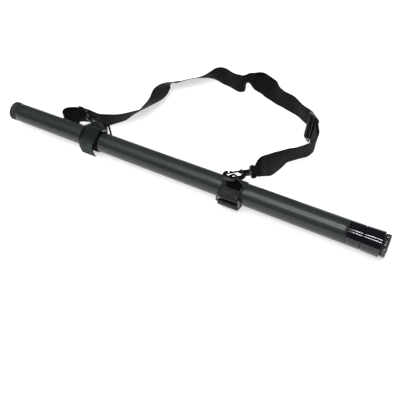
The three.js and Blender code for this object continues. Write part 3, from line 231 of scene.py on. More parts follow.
def lathe(name, profile, segs, material, closed=False, radial=None):
    """Turned piece about the X axis. Ends on the axis, or closes on itself."""
    pts = list(profile)
    if closed:
        pts = pts + [pts[0]]
    verts, uvs, faces = [], [], []
    arc = 0.0
    for i, (x, r) in enumerate(pts):
        if i:
            arc += math.hypot(x - pts[i - 1][0], r - pts[i - 1][1])
        for k in range(segs + 1):
            t = 2 * math.pi * k / segs
            q = radial(t, x, r) if radial else r
            verts.append((x, q * math.cos(t), q * math.sin(t)))
            uvs.append((t * max(r, 1.0) * MM, arc * MM))
    for i in range(len(pts) - 1):
        for k in range(segs):
            a = i * (segs + 1) + k
            faces.append((a, a + 1, a + segs + 2, a + segs + 1))
    ob = make(name, verts, faces, uvs, material)
    weld(ob)
    recalc(ob)
    return ob


def weld(ob, dist=0.00001):
    import bmesh
    bm = bmesh.new(); bm.from_mesh(ob.data)
    bmesh.ops.remove_doubles(bm, verts=bm.verts, dist=dist)
    bmesh.ops.dissolve_degenerate(bm, dist=1e-7, edges=bm.edges)
    bm.to_mesh(ob.data); bm.free()
    ob.data.polygons.foreach_set("use_smooth", [True] * len(ob.data.polygons))


def recalc(ob):
    import bmesh
    bm = bmesh.new(); bm.from_mesh(ob.data)
    bmesh.ops.recalc_face_normals(bm, faces=bm.faces)
    bm.to_mesh(ob.data); bm.free()


def sharpen(ob, angle=40):
    m = ob.modifiers.new("weighted_normals", "WEIGHTED_NORMAL")
    m.keep_sharp = True


def catmull(points, per):
    """Smooth chain through the points, per steps between two of them."""
    p = np.asarray(points, float)
    n = len(p)
    out = []
    for i in range(n - 1):
        a, b, c, d = p[max(i - 1, 0)], p[i], p[i + 1], p[min(i + 2, n - 1)]
        for k in range(per):
            t = k / per
            out.append(0.5 * ((2 * b) + (c - a) * t + (2 * a - 5 * b + 4 * c - d) * t * t + (3 * b - a - 3 * c + d) * t ** 3))
    out.append(p[-1])
    return np.array(out)


def ribbon(name, centres, across, half, thick, material, cols=20, edge=0.45, wave=None, u_scale=None):
    """Webbing: a closed thin body with rounded selvedges along the stations."""
    c = np.asarray(centres, float)
    a = np.asarray(across, float)
    a /= np.linalg.norm(a, axis=1)[:, None]
    t = np.gradient(c, axis=0)
    t /= np.linalg.norm(t, axis=1)[:, None]
    n = np.cross(t, a)
    n /= np.linalg.norm(n, axis=1)[:, None]
    along = np.concatenate([[0], np.cumsum(np.linalg.norm(np.diff(c, axis=0), axis=1))])
    half = np.asarray(half, float) * np.ones(len(c))
    # section: top from -1 to 1, rounded edge, bottom back, rounded edge
    s_in = np.linspace(-1, 1, cols)
    section = []
    for s in s_in:
        section.append((s, 1.0, 0))
    section.append((1.0, 0.55, 1)); section.append((1.0, -0.55, 1))
    for s in s_in[::-1]:
        section.append((s, -1.0, 0))
    section.append((-1.0, -0.55, 1)); section.append((-1.0, 0.55, 1))
    m = len(section)
    verts, uvs, faces = [], [], []
    arc = along
    for i in range(len(c)):
        for j, (s, side, rim) in enumerate(section):
            inset = 0.0 if rim else (edge * 0.55 if abs(s) > 0.999 else 0.0)
            x = s * (half[i] - inset)
            h = side * thick / 2
            if wave is not None:
                h = h + wave(along[i], s, side, half[i], i)
            verts.append(c[i] + a[i] * x + n[i] * h)
            width = u_scale if u_scale else half[i]
            uvs.append(((s * width) * MM, arc[i] * MM))
    for i in range(len(c) - 1):
        for j in range(m):
            k = (j + 1) % m
            faces.append((i * m + j, (i + 1) * m + j, (i + 1) * m + k, i * m + k))
    faces.append(tuple(range(m - 1, -1, -1)))
    faces.append(tuple((len(c) - 1) * m + j for j in range(m)))
    ob = make(name, verts, faces, uvs, material)
    recalc(ob)
    return ob


def strip(name, path, x, width, thick, material, per=5, cols=12, wave=None):
    """A strip of webbing that lies round the pole: path of (y, z), width along X; x may vary along it."""
    p = catmull(path, per)
    xs = np.array([x(i / per) if callable(x) else x for i in range(len(p))], float)
    c = np.column_stack([xs, p[:, 0], p[:, 1]])
    return ribbon(name, c, np.tile([1.0, 0, 0], (len(p), 1)), width / 2, thick, material, cols=cols, wave=wave)


# ------------------------------------------------------------- materials
def base(name, color, rough, metal=0.0):
    m = bpy.data.materials.new(name)
    m.use_nodes = True
    t = m.node_tree
    b = t.nodes["Principled BSDF"]
    b.inputs["Base Color"].default_value = (*color, 1)
    b.inputs["Roughness"].default_value = rough
    b.inputs["Metallic"].default_value = metal
    return m, t, b


def node(t, kind, **values):
    n = t.nodes.new(kind)
    for k, v in values.items():
        if k.startswith("in_"):
            key = k[3:]
            key = int(key) if key.isdigit() else key
            n.inputs[key].default_value = v
        else:
            setattr(n, k, v)
    return n


def ramp(t, source, stops):
    r = t.nodes.new("ShaderNodeValToRGB")
    el = r.color_ramp.elements
    while len(el) < len(stops):
        el.new(0.5)
    for e, (pos, col) in zip(el, stops):
        e.position = pos
        e.color = (*col, 1) if len(col) == 3 else col
    t.links.new(source, r.inputs[0])
    return r.outputs[0]


def math_node(t, op, a, b=None, c=None, clamp=False):
    n = t.nodes.new("ShaderNodeMath")
    n.operation = op
    n.use_clamp = clamp
    for i, v in enumerate((a, b, c)):
        if v is None:
            continue
        if isinstance(v, (int, float)):
            n.inputs[i].default_value = v
        else:
            t.links.new(v, n.inputs[i])
    return n.outputs[0]


def bump(t, b, height, strength, distance, chain=None, socket="Normal"):
    n = t.nodes.new("ShaderNodeBump")
    n.inputs["Strength"].default_value = strength
    n.inputs["Distance"].default_value = distance
    t.links.new(height, n.inputs["Height"])
    if chain is not None:
        t.links.new(chain, n.inputs["Normal"])
    t.links.new(n.outputs[0], b.inputs[socket])
    return n.outputs[0]


def uv_split(t):
    uv = t.nodes.new("ShaderNodeUVMap")
    uv.uv_map = "UVMap"
    s = t.nodes.new("ShaderNodeSeparateXYZ")
    t.links.new(uv.outputs[0], s.inputs[0])
    return uv.outputs[0], s.outputs[0], s.outputs[1]


def noise(t, vector, scale, detail=3.0, rough=0.5):
    n = t.nodes.new("ShaderNodeTexNoise")
    n.inputs["Scale"].default_value = scale
    n.inputs["Detail"].default_value = detail
    n.inputs["Roughness"].default_value = rough
    if vector is not None:
        t.links.new(vector, n.inputs["Vector"])
    return n.outputs["Fac"]


def sine(t, value, period, phase=0.0):
    """0..1 wave of the value with that period."""
    a = math_node(t, "MULTIPLY_ADD", value, 2 * math.pi / period, phase)
    s = math_node(t, "SINE", a)
    return math_node(t, "MULTIPLY_ADD", s, 0.5, 0.5)


def position(t):
    g = t.nodes.new("ShaderNodeTexCoord")
    return g.outputs["Object"]


def carbon(name, light=1.0, weave=0.0016, rough=0.34):
    """Clear-coated carbon tube: fine diagonal twill under a satin coat."""
    m, t, b = base(name, (0.03, 0.035, 0.035), rough)
    uv, u, v = uv_split(t)
    d1 = math_node(t, "ADD", u, v)
    d2 = math_node(t, "SUBTRACT", u, v)
    w1, w2 = sine(t, d1, weave), sine(t, d2, weave * 0.5, 0.6)
    n1 = noise(t, position(t), 22.0, 4.0)
    fibre = noise(t, uv, 2600.0, 2.0)
    mix = math_node(t, "MULTIPLY_ADD", w1, 0.62, math_node(t, "MULTIPLY", w2, 0.2))
    mix = math_node(t, "ADD", mix, math_node(t, "MULTIPLY", n1, 0.18))
    k = light
    col = ramp(t, mix, [(0.08, (0.004 * k, 0.0052 * k, 0.0053 * k)), (0.5, (0.0085 * k, 0.0108 * k, 0.0110 * k)), (0.95, (0.019 * k, 0.0235 * k, 0.0235 * k))])
    t.links.new(col, b.inputs["Base Color"])
    r = math_node(t, "MULTIPLY_ADD", w1, -0.10, rough + 0.05)
    r = math_node(t, "MULTIPLY_ADD", n1, 0.08, r)
    t.links.new(r, b.inputs["Roughness"])
    b.inputs["Specular IOR Level"].default_value = 0.3
    b.inputs["Coat Weight"].default_value = 0.34
    b.inputs["Coat Roughness"].default_value = 0.25
    b.inputs["Coat IOR"].default_value = 1.5
    h = math_node(t, "MULTIPLY_ADD", fibre, 0.25, w1)
    bump(t, b, h, 0.35, 0.00004)
    return m


def lacquer(name, tint, rough=0.06):
    """Gloss lacquer over a turned fitting, with faint orange peel and handling haze."""
    m, t, b = base(name, tint, rough)
    p = position(t)
    n = noise(t, p, 55.0, 3.0)
    fine = noise(t, p, 700.0, 2.0)
    col = ramp(t, n, [(0.3, tuple(0.75 * c for c in tint)), (0.7, tuple(1.4 * c for c in tint))])
    t.links.new(col, b.inputs["Base Color"])
    t.links.new(math_node(t, "MULTIPLY_ADD", n, 0.07, rough - 0.02), b.inputs["Roughness"])
    b.inputs["Specular IOR Level"].default_value = 0.4
    b.inputs["Coat Weight"].default_value = 0.25
    b.inputs["Coat Roughness"].default_value = 0.04
    bump(t, b, fine, 0.05, 0.00003)
    return m


def rubber(name, color=(0.012, 0.012, 0.0125), rough=0.7):
    m, t, b = base(name, color, rough)
    p = position(t)
    n = noise(t, p, 90.0, 5.0, 0.6)
    grain = noise(t, p, 2400.0, 2.0)
    col = ramp(t, n, [(0.25, tuple(0.45 * c for c in color)), (0.75, tuple(1.2 * c for c in color))])
    t.links.new(col, b.inputs["Base Color"])
    t.links.new(math_node(t, "MULTIPLY_ADD", n, 0.22, rough - 0.11), b.inputs["Roughness"])
    bump(t, b, grain, 0.35, 0.00008)
    return m


def plastic(name, color, rough=0.32, coat=0.0):
    m, t, b = base(name, color, rough)
    p = position(t)
    n = noise(t, p, 120.0, 4.0)
    fine = noise(t, p, 1800.0, 2.0)
    col = ramp(t, n, [(0.3, tuple(0.75 * c for c in color)), (0.75, tuple(1.5 * c for c in color))])
    t.links.new(col, b.inputs["Base Color"])
    t.links.new(math_node(t, "MULTIPLY_ADD", n, 0.16, rough - 0.08), b.inputs["Roughness"])
    b.inputs["Coat Weight"].default_value = coat
    b.inputs["Coat Roughness"].default_value = 0.1
    bump(t, b, fine, 0.12, 0.00005)
    return m


def metal(name, color, rough=0.28, wear=0.5):
    """Black-nickel plated casting: dark, with cloudy roughness and lighter rubbed edges."""
    m, t, b = base(name, color, rough, 1.0)
    p = position(t)
    n = noise(t, p, 260.0, 4.0)
    fine = noise(t, p, 2600.0, 3.0)
    g = t.nodes.new("ShaderNodeNewGeometry")
    edge = ramp(t, g.outputs["Pointiness"], [(0.50, (0, 0, 0)), (0.60, (wear, wear, wear))])
    mixc = t.nodes.new("ShaderNodeMix"); mixc.data_type = "RGBA"
    t.links.new(edge, mixc.inputs["Factor"])
    t.links.new(ramp(t, n, [(0.3, tuple(0.7 * c for c in color)), (0.7, tuple(1.35 * c for c in color))]), mixc.inputs[6])
    mixc.inputs[7].default_value = (0.42, 0.43, 0.44, 1)
    t.links.new(mixc.outputs[2], b.inputs["Base Color"])
    t.links.new(math_node(t, "MULTIPLY_ADD", n, 0.22, rough - 0.1), b.inputs["Roughness"])
    bump(t, b, fine, 0.10, 0.00003)
    return m


def webbing(name, color, rib=0.0016, rough=0.72, fuzz=0.0, bright=1.0, depth=0.00016, light=2.0, spec=0.12):
    """Woven nylon webbing: cross ribs with a herringbone of fine yarns, and selvedges."""
    m, t, b = base(name, color, rough)
    uv, u, v = uv_split(t)
    # zigzag along the strap from columns across
    col_w = 0.0048
    tri = math_node(t, "PINGPONG", u, col_w)
    chev = math_node(t, "ADD", v, math_node(t, "MULTIPLY", tri, 0.55))
    ribs = sine(t, chev, rib)
    yarn = sine(t, u, 0.0009)
    n = noise(t, uv, 95.0, 4.0)
    fine = noise(t, uv, 3200.0, 2.0)
    h = math_node(t, "MULTIPLY_ADD", yarn, 0.35, ribs)
    h = math_node(t, "MULTIPLY_ADD", fine, 0.35 + fuzz, h)
    mix = math_node(t, "MULTIPLY_ADD", ribs, 0.42, math_node(t, "MULTIPLY", yarn, 0.16))
    mix = math_node(t, "ADD", mix, math_node(t, "MULTIPLY", n, 0.32))
    mix = math_node(t, "MULTIPLY_ADD", fine, 0.12, mix)
    c0 = tuple(0.45 * c for c in color)
    c1 = color
    c2 = tuple(light * c * bright for c in color)
    t.links.new(ramp(t, mix, [(0.12, c0), (0.5, c1), (0.92, c2)]), b.inputs["Base Color"])
    t.links.new(math_node(t, "MULTIPLY_ADD", n, 0.18, rough - 0.09), b.inputs["Roughness"])
    b.inputs["Sheen Weight"].default_value = 0.01 + fuzz * 0.6
    b.inputs["Sheen Roughness"].default_value = 0.45
    b.inputs["Sheen Tint"].default_value = (0.75, 0.78, 0.8, 1)
    b.inputs["Specular IOR Level"].default_value = spec
    bump(t, b, h, 0.8, depth)
    return m


def loop_tape(name, color, painted_light_from=0.030, painted_light_to=0.058):
    """Brushed loop face of hook-and-loop tape: matt, fuzzy, in faint rows, with painted light on the far end of the
    strip.
    """
    m, t, b = base(name, color, 0.9)
    uv, u, v = uv_split(t)
    rows = sine(t, u, 0.0027)
    fuzz = noise(t, uv, 1500.0, 5.0, 0.7)
    patch = noise(t, uv, 120.0, 4.0)
    # the far end of the strip faces down into shade; there the colour fades to a much paler copy of the tape colour,
    # which is painted light
    painted_light_fade = t.nodes.new("ShaderNodeMapRange")
    painted_light_fade.interpolation_type = "SMOOTHSTEP"
    painted_light_fade.inputs["From Min"].default_value = painted_light_from
    painted_light_fade.inputs["From Max"].default_value = painted_light_to
    t.links.new(v, painted_light_fade.inputs["Value"])
    mix = math_node(t, "MULTIPLY_ADD", rows, 0.26, math_node(t, "MULTIPLY", fuzz, 0.42))
    mix = math_node(t, "MULTIPLY_ADD", patch, 0.26, mix)
    tape_colour = ramp(t, mix, [(0.2, tuple(0.4 * c for c in color)), (0.5, color), (0.8, tuple(2.6 * c for c in color))])
    # paler copy of the tape colour, 2.2 to 18 times as bright: painted light for the shaded far end
    painted_light_colour = ramp(t, mix, [(0.25, tuple(2.2 * c for c in color)), (0.5, tuple(7.5 * c for c in color)), (0.8, tuple(18.0 * c for c in color))])
    mixc = t.nodes.new("ShaderNodeMix"); mixc.data_type = "RGBA"
    t.links.new(painted_light_fade.outputs[0], mixc.inputs["Factor"])
    t.links.new(tape_colour, mixc.inputs[6]); t.links.new(painted_light_colour, mixc.inputs[7])
    t.links.new(mixc.outputs[2], b.inputs["Base Color"])
    b.inputs["Sheen Weight"].default_value = 0.03
    b.inputs["Specular IOR Level"].default_value = 0.12
    b.inputs["Sheen Roughness"].default_value = 0.6
    b.inputs["Sheen Tint"].default_value = (0.7, 0.75, 0.74, 1)
    h = math_node(t, "MULTIPLY_ADD", rows, 0.5, fuzz)
    bump(t, b, h, 0.9, 0.0003)
    return m


M_CARBON = carbon("carbon_weave_coat")
M_INNER = carbon("inner_carbon_coat", light=0.9, weave=0.0012, rough=0.42)
M_FERRULE = lacquer("gloss_black_lacquer", (0.0025, 0.0025, 0.0040), 0.06)
M_COLLAR = lacquer("gloss_collar_lacquer", (0.0028, 0.0027, 0.0046), 0.05)
M_NYLON = plastic("screw_cap_nylon", (0.007, 0.0075, 0.0085), 0.26, coat=0.35)
M_BUCKLE = plastic("buckle_nylon", (0.012, 0.013, 0.0135), 0.2, coat=0.5)
M_RUBBER = rubber("cap_rubber")
M_FOAM = rubber("cushion_foam", (0.02, 0.02, 0.021), 0.95)
M_METAL = metal("black_nickel_plate", (0.035, 0.037, 0.040), 0.24, wear=0.35)
# the swivel eyes get a brighter copy of the same black-nickel metal so that they catch more light: painted highlight
M_EYE_HIGHLIGHT = metal("swivel_plate", (0.11, 0.115, 0.12), 0.3, wear=0.5)
M_PIN = metal("steel_pin", (0.16, 0.165, 0.17), 0.3)
M_BRASS = metal("brass_thread", (0.42, 0.28, 0.10), 0.3)
M_STRAP = webbing("strap_weave", (0.0026, 0.0026, 0.0028), rib=0.0021, rough=0.62, spec=0.07, light=2.8, depth=0.00028)
M_BAND = webbing("band_weave", (0.0024, 0.0034, 0.0034), rib=0.0014, rough=0.36, spec=0.26, light=2.0, depth=0.00016)
M_LOOP = loop_tape("band_loop_face", (0.0036, 0.0050, 0.0049))
M_TAB = webbing("tab_weave", (0.0014, 0.0014, 0.0015), spec=0.04, rib=0.0012, rough=0.75)
M_THREAD = webbing("sewing_thread", (0.009, 0.009, 0.0095), rib=0.0005, rough=0.55)

shown = []


def piece(ob, body, slot, *nodes):
    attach(ob, body)
    if nodes:
        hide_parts(*nodes)
    shown.append(ob)
    return ob


# ------------------------------------------------------------- pole
def tube_piece(name, x0, r0, x1, r1, wall, mat, segs=160, steps=60, lip=0.35):
    xs = np.linspace(x0, x1, steps)
    rs = r0 + (r1 - r0) * (xs - x0) / (x1 - x0)
    out = [(x0 + lip * 0.3, r0 - lip * 0.9)] + [(x0 + lip, r0 - 0.02)] + [(x, r) for x, r in zip(xs[1:-1], rs[1:-1])] + [(x1 - lip, r1 - 0.02), (x1 - lip * 0.3, r1 - lip * 0.9)]
    inn = [(x1, r1 - wall * 0.6), (x1 - lip, r1 - wall)] + [(x, r - wall) for x, r in zip(xs[1:-1:6][::-1], rs[1:-1:6][::-1])] + [(x0 + lip, r0 - wall), (x0, r0 - wall * 0.6)]
    return lathe(name, out + inn, segs, mat, closed=True)


piece(tube_piece("butt_tube", TOP_X, TOP_R, BUTT_X, BUTT_R, BUTT_WALL, M_CARBON, 192, 80), "butt", "carbon", "butt_section")
for key, (x0, r0, x1, r1) in SECTIONS.items():
    piece(tube_piece(key.replace("section", "tube") if key != "tip_section" else "tip_tube", x0, r0, x1, r1, 0.9, M_INNER, 96, 30),
          "tip" if key == "tip_section" else key, "inner_carbon", key)

# tip socket: internal thread drawn as a helix-like run of ridges in the bore
tx, tr = SECTIONS["tip_section"][0], SECTIONS["tip_section"][1] - 0.9
prof = [(tx - 2.6, 4.0), (tx - 2.6, 5.9), (tx - 2.4, 6.3), (tx - 2.1, 6.5), (tx - 0.3, 6.5), (tx - 0.05, 6.3), (tx - 0.05, tr - 0.05), (tx + 17.6, tr - 0.05), (tx + 18, tr - 0.4), (tx + 18, 4.2)]
for i in range(32):
    x = tx + 17.4 - i * 0.62
    prof += [(x, 4.25), (x - 0.31, 3.92)]
piece(lathe("tip_socket_threaded", prof, 72, M_BRASS, closed=True), "tip", "brass_socket", "tip_socket")

# rubber cap with a soft nose, a parting groove and two faint grip rings
hx = TOP_X - 13.6
prof = [(hx, 0.0), (hx, 9.0), (hx + 0.05, 11.0), (hx + 0.2, 12.3), (hx + 0.6, 13.5), (hx + 1.2, 14.5), (hx + 2.0, 15.25), (hx + 2.9, 15.7), (hx + 4.0, 15.95), (hx + 5.2, 16.0)]
for g in (6.6, 8.1, 9.6):
    prof += [(hx + g - 0.45, 16.0), (hx + g - 0.15, 15.72), (hx + g + 0.15, 15.72), (hx + g + 0.45, 16.0)]
prof += [(TOP_X - 1.2, 16.0), (TOP_X - 0.7, 15.85), (TOP_X - 0.35, 15.45), (TOP_X - 0.3, 14.6), (TOP_X - 0.3, 14.1), (TOP_X + 6, 14.0), (TOP_X + 13.0, 13.95), (TOP_X + 13.6, 13.5), (TOP_X + 13.6, 11.9), (TOP_X + 13.2, 11.6), (TOP_X + 2, 11.6), (TOP_X + 2, 0.0)]
piece(lathe("rubber_top_cap", prof, 160, M_RUBBER), "cap", "black_rubber", "top_cap")

# ferrule, collar and screw cap
gx, gw = 270.2 - END, 0.9
fx = BUTT_X + 0.4
prof = [(222 - END, 17.4), (fx, 17.5), (fx, 18.95), (fx + 0.12, 19.18), (fx + 0.35, 19.3), (gx - 8, 19.36), (gx - 0.5, 19.4), (gx - 0.18, 19.33), (gx, 19.12), (gx, 17.6), (263 - END, 17.6), (263 - END, 15.3), (222 - END, 15.3)]
piece(lathe("lacquered_ferrule", prof, 192, M_FERRULE, closed=True), "butt", "gloss_black", "butt_ferrule")
cx = gx + gw
ce = 300.1 - END
prof = [(263.4 - END, 17.2), (cx, 17.2), (cx, 19.15), (cx + 0.16, 19.36), (cx + 0.45, 19.46), (cx + 7, 19.72), (cx + 14, 19.97), (cx + 21, 20.21), (ce - 2.4, 20.43), (ce - 1.5, 20.44), (ce - 0.8, 20.3), (ce - 0.3, 19.95), (ce, 19.35), (ce, 16.5), (ce - 0.3, 16.3), (281 - END, 16.3), (281 - END, 15.3), (263.4 - END, 15.3)]
piece(lathe("lacquered_collar", prof, 192, M_COLLAR, closed=True), "butt", "gloss_black", "butt_collar")
prof = [(ce + 0.3, 16.2), (ce + 0.3, 17.3), (ce + 0.5, 17.6), (ce + 0.9, 17.7), (ce + 1.3, 17.6), (ce + 1.5, 17.3), (ce + 1.5, 16.2)]
piece(lathe("rubber_washer", prof, 96, M_RUBBER, closed=True), "washer", "black_rubber", "cap_washer")


def lobed(t, x, r):
    return r - 1.1 * math.pow(0.5 + 0.5 * math.cos(12 * t), 4) * min(1.0, max(0.0, (r - 15.6) / 1.6)) if r > 15.6 and x > 300 - END else r


prof = [(294 - END, 0.0), (294 - END, 12.2), (251.6 - END, 12.2), (250.7 - END, 12.5), (250.5 - END, 13.2), (250.6 - END, 14.0), (251.3 - END, 14.7)]
for i in range(12):
    x = 253.5 - END + i * 2.2
    prof += [(x, 14.78), (x + 0.7, 14.78), (x + 1.1, 14.35), (x + 1.6, 14.35)]
prof += [(281.6 - END, 14.8), (282 - END, 15.7), (ce + 1.7, 15.9), (ce + 1.9, 16.3), (ce + 1.9, 17.4), (ce + 2.05, 17.9), (ce + 2.5, 18.28), (ce + 3.2, 18.3), (-2.4, 18.3), (-1.5, 18.2), (-0.9, 17.9), (-0.45, 17.45), (-0.2, 17.1),
         (0, 16.6), (0, 15.0), (-0.02, 14.9), (-0.35, 14.55), (-0.8, 14.4), (-0.9, 14.0), (-0.9, 6.4), (-0.85, 6.1), (-0.4, 5.9), (-0.1, 5.6), (-0.1, 0.0)]
piece(lathe("screw_cap_lobed", prof, 288, M_NYLON, radial=lobed), "screw_cap", "black_nylon", "end_cap")
prof = [(241.2 - END, 0.0), (241.2 - END, 11.8), (241.4 - END, 12.6), (242.0 - END, 13.5), (242.9 - END, 14.0), (249.9 - END, 14.0), (250.2 - END, 13.7), (250.2 - END, 11.9), (254 - END, 11.8), (254 - END, 0.0)]
piece(lathe("foam_cushion", prof, 96, M_FOAM), "screw_cap", "foam", "end_cushion")

# ------------------------------------------------------------- hard castings
# plated castings: the frame's own shapes with rounded, slightly soft edges
def cast(name, source, body, slot, mat, voxel=0.28, smooth=3, relief=None):
    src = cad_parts[source]
    me = src.data.copy()
    ob = bpy.data.objects.new(name, me)
    scene.collection.objects.link(ob)
    me.materials.clear(); me.materials.append(mat)
    weld(ob, 0.00002)
    m = ob.modifiers.new("voxels", "REMESH"); m.mode = "VOXEL"; m.voxel_size = voxel * MM; m.use_smooth_shade = True; m.adaptivity = 0
    s = ob.modifiers.new("soft", "SMOOTH"); s.factor = 0.5; s.iterations = smooth
    dg = bpy.context.evaluated_depsgraph_get()
    done = bpy.data.meshes.new_from_object(ob.evaluated_get(dg))
    ob.modifiers.clear()
    ob.data = done
    done.materials.clear(); done.materials.append(mat)
    done.polygons.foreach_set("use_smooth", [True] * len(done.polygons))
    return piece(ob, body, slot, source)


for side in ("right", "left"):
    cast(f"{side}_hook_casting", f"{side}_hook_body", f"{side}_hook", "gunmetal", M_METAL, 0.3, 3)
    cast(f"{side}_hook_lever", f"{side}_hook_gate", f"{side}_gate", "gunmetal", M_METAL, 0.24, 2)
    cast(f"{side}_hook_rivet", f"{side}_gate_pin", f"{side}_hook", "gunmetal", M_PIN, 0.2, 2)
    cast(f"{side}_swivel_loop", f"{side}_swivel_eye", "butt", "gunmetal", M_EYE_HIGHLIGHT, 0.28, 3)
    cast(f"{side}_ring_wire", f"{side}_dring", f"{side}_ring", "gunmetal", M_METAL, 0.3, 4)
    cast(f"{side}_buckle_frame", f"{side}_band_buckle", "butt", "black_nylon", M_BUCKLE, 0.32, 3)
cast("strap_slider", "slide_adjuster", "butt", "gunmetal", M_METAL, 0.3, 3)

# ------------------------------------------------------------- shoulder strap
st = np.array(STRAP)
PER = 4
EYES = ((np.array([-230.998, 27.403, 24.499]), np.array([-0.5468, -0.7999, 0.2474])),
        (np.array([-553.679, 43.518, 3.203]), np.array([0.9491, -0.2780, -0.1480])))
for i in range(len(st)):
    for E, L in EYES:
        q = float((st[i, :3] - E) @ L)
        near = np.linalg.norm(st[i, :3] - E) < 11
        if near and q > -6.0 and st[i, 6] < 8.0:
            # the webbing lies loosely in the eye and fills it
            st[i, :3] += L * min(3.6, (q + 6.0) * 1.5)
            st[i, 6] += 0.7
# beside the left hook the gathered webbing opens downwards, towards the pole
for i in range(12, 19):
    k = math.sin(math.pi * (i - 11) / 8)
    av = st[i, 3:6] / np.linalg.norm(st[i, 3:6])
    st[i, :3] += av * 2.6 * k * (1 if av[2] < 0 else -1)
    st[i, 6] = min(19.0, st[i, 6] + 2.6 * k)
sc = catmull(st[:, :3], PER)
sa = catmull(st[:, 3:6], PER)
sh = np.clip(catmull(st[:, 6:7], PER)[:, 0], 7.0, 19.0)


# the gathered stretches: pleat sense by layer, faded out where the webbing turns round the eye
tn = np.gradient(sc, axis=0)
nn = np.cross(tn, sa)
nn /= np.linalg.norm(nn, axis=1)[:, None]
tight = sh < 18.5
turn_sign, fade = np.ones(len(sc)), np.ones(len(sc))
eye_l, eye_r = sc[7 * PER], sc[int(np.argmin(np.where(np.arange(len(sc)) > 60 * PER, sh + 0.01 * np.abs(np.arange(len(sc)) - 160 * PER), 99)))]
for i in range(len(sc)):
    if tight[i]:
        ref = nn[14 * PER] if np.linalg.norm(sc[i] - eye_l) < 60 else nn[min(len(sc) - 1, 140 * PER)]
        turn_sign[i] = 1.0 if nn[i] @ ref > 0 else -1.0
curl = np.linalg.norm(np.gradient(tn / np.linalg.norm(tn, axis=1)[:, None], axis=0), axis=1) / np.linalg.norm(tn, axis=1)
fade = np.clip(1.0 - np.convolve(curl, np.ones(9) / 9, "same") / 0.06, 0.0, 1.0)
fade = np.convolve(np.minimum.reduce([fade, np.roll(fade, 4), np.roll(fade, -4)]), np.ones(7) / 7, "same")


def strap_wave(s, across, side, half, i):
    """Lengthwise pleats where the webbing is gathered, and a slightly thicker selvedge."""
    gather = max(0.0, (19.0 - half) / 11.4) * fade[i]
    pleat = 0.9 * gather * turn_sign[i] * math.sin(across * math.pi * 2.5 + 0.6)
    rim = -0.10 * side if 0.86 > abs(across) > 0.78 else 0.0
    slack = 0.12 * math.sin(s * 0.11 + across * 1.7) * (1 - abs(across) * 0.4)
    return pleat + rim + slack * (1 - gather)


strap = ribbon("shoulder_strap", sc, sa, sh, WEB_T, M_STRAP, cols=30, edge=0.5, wave=strap_wave, u_scale=19.0)
piece(strap, "butt", "webbing", "strap_webbing")

# ------------------------------------------------------------- pole bands
DEG = math.pi / 180


def polar(t, r):
    return (-r * math.cos(t * DEG), r * math.sin(t * DEG))


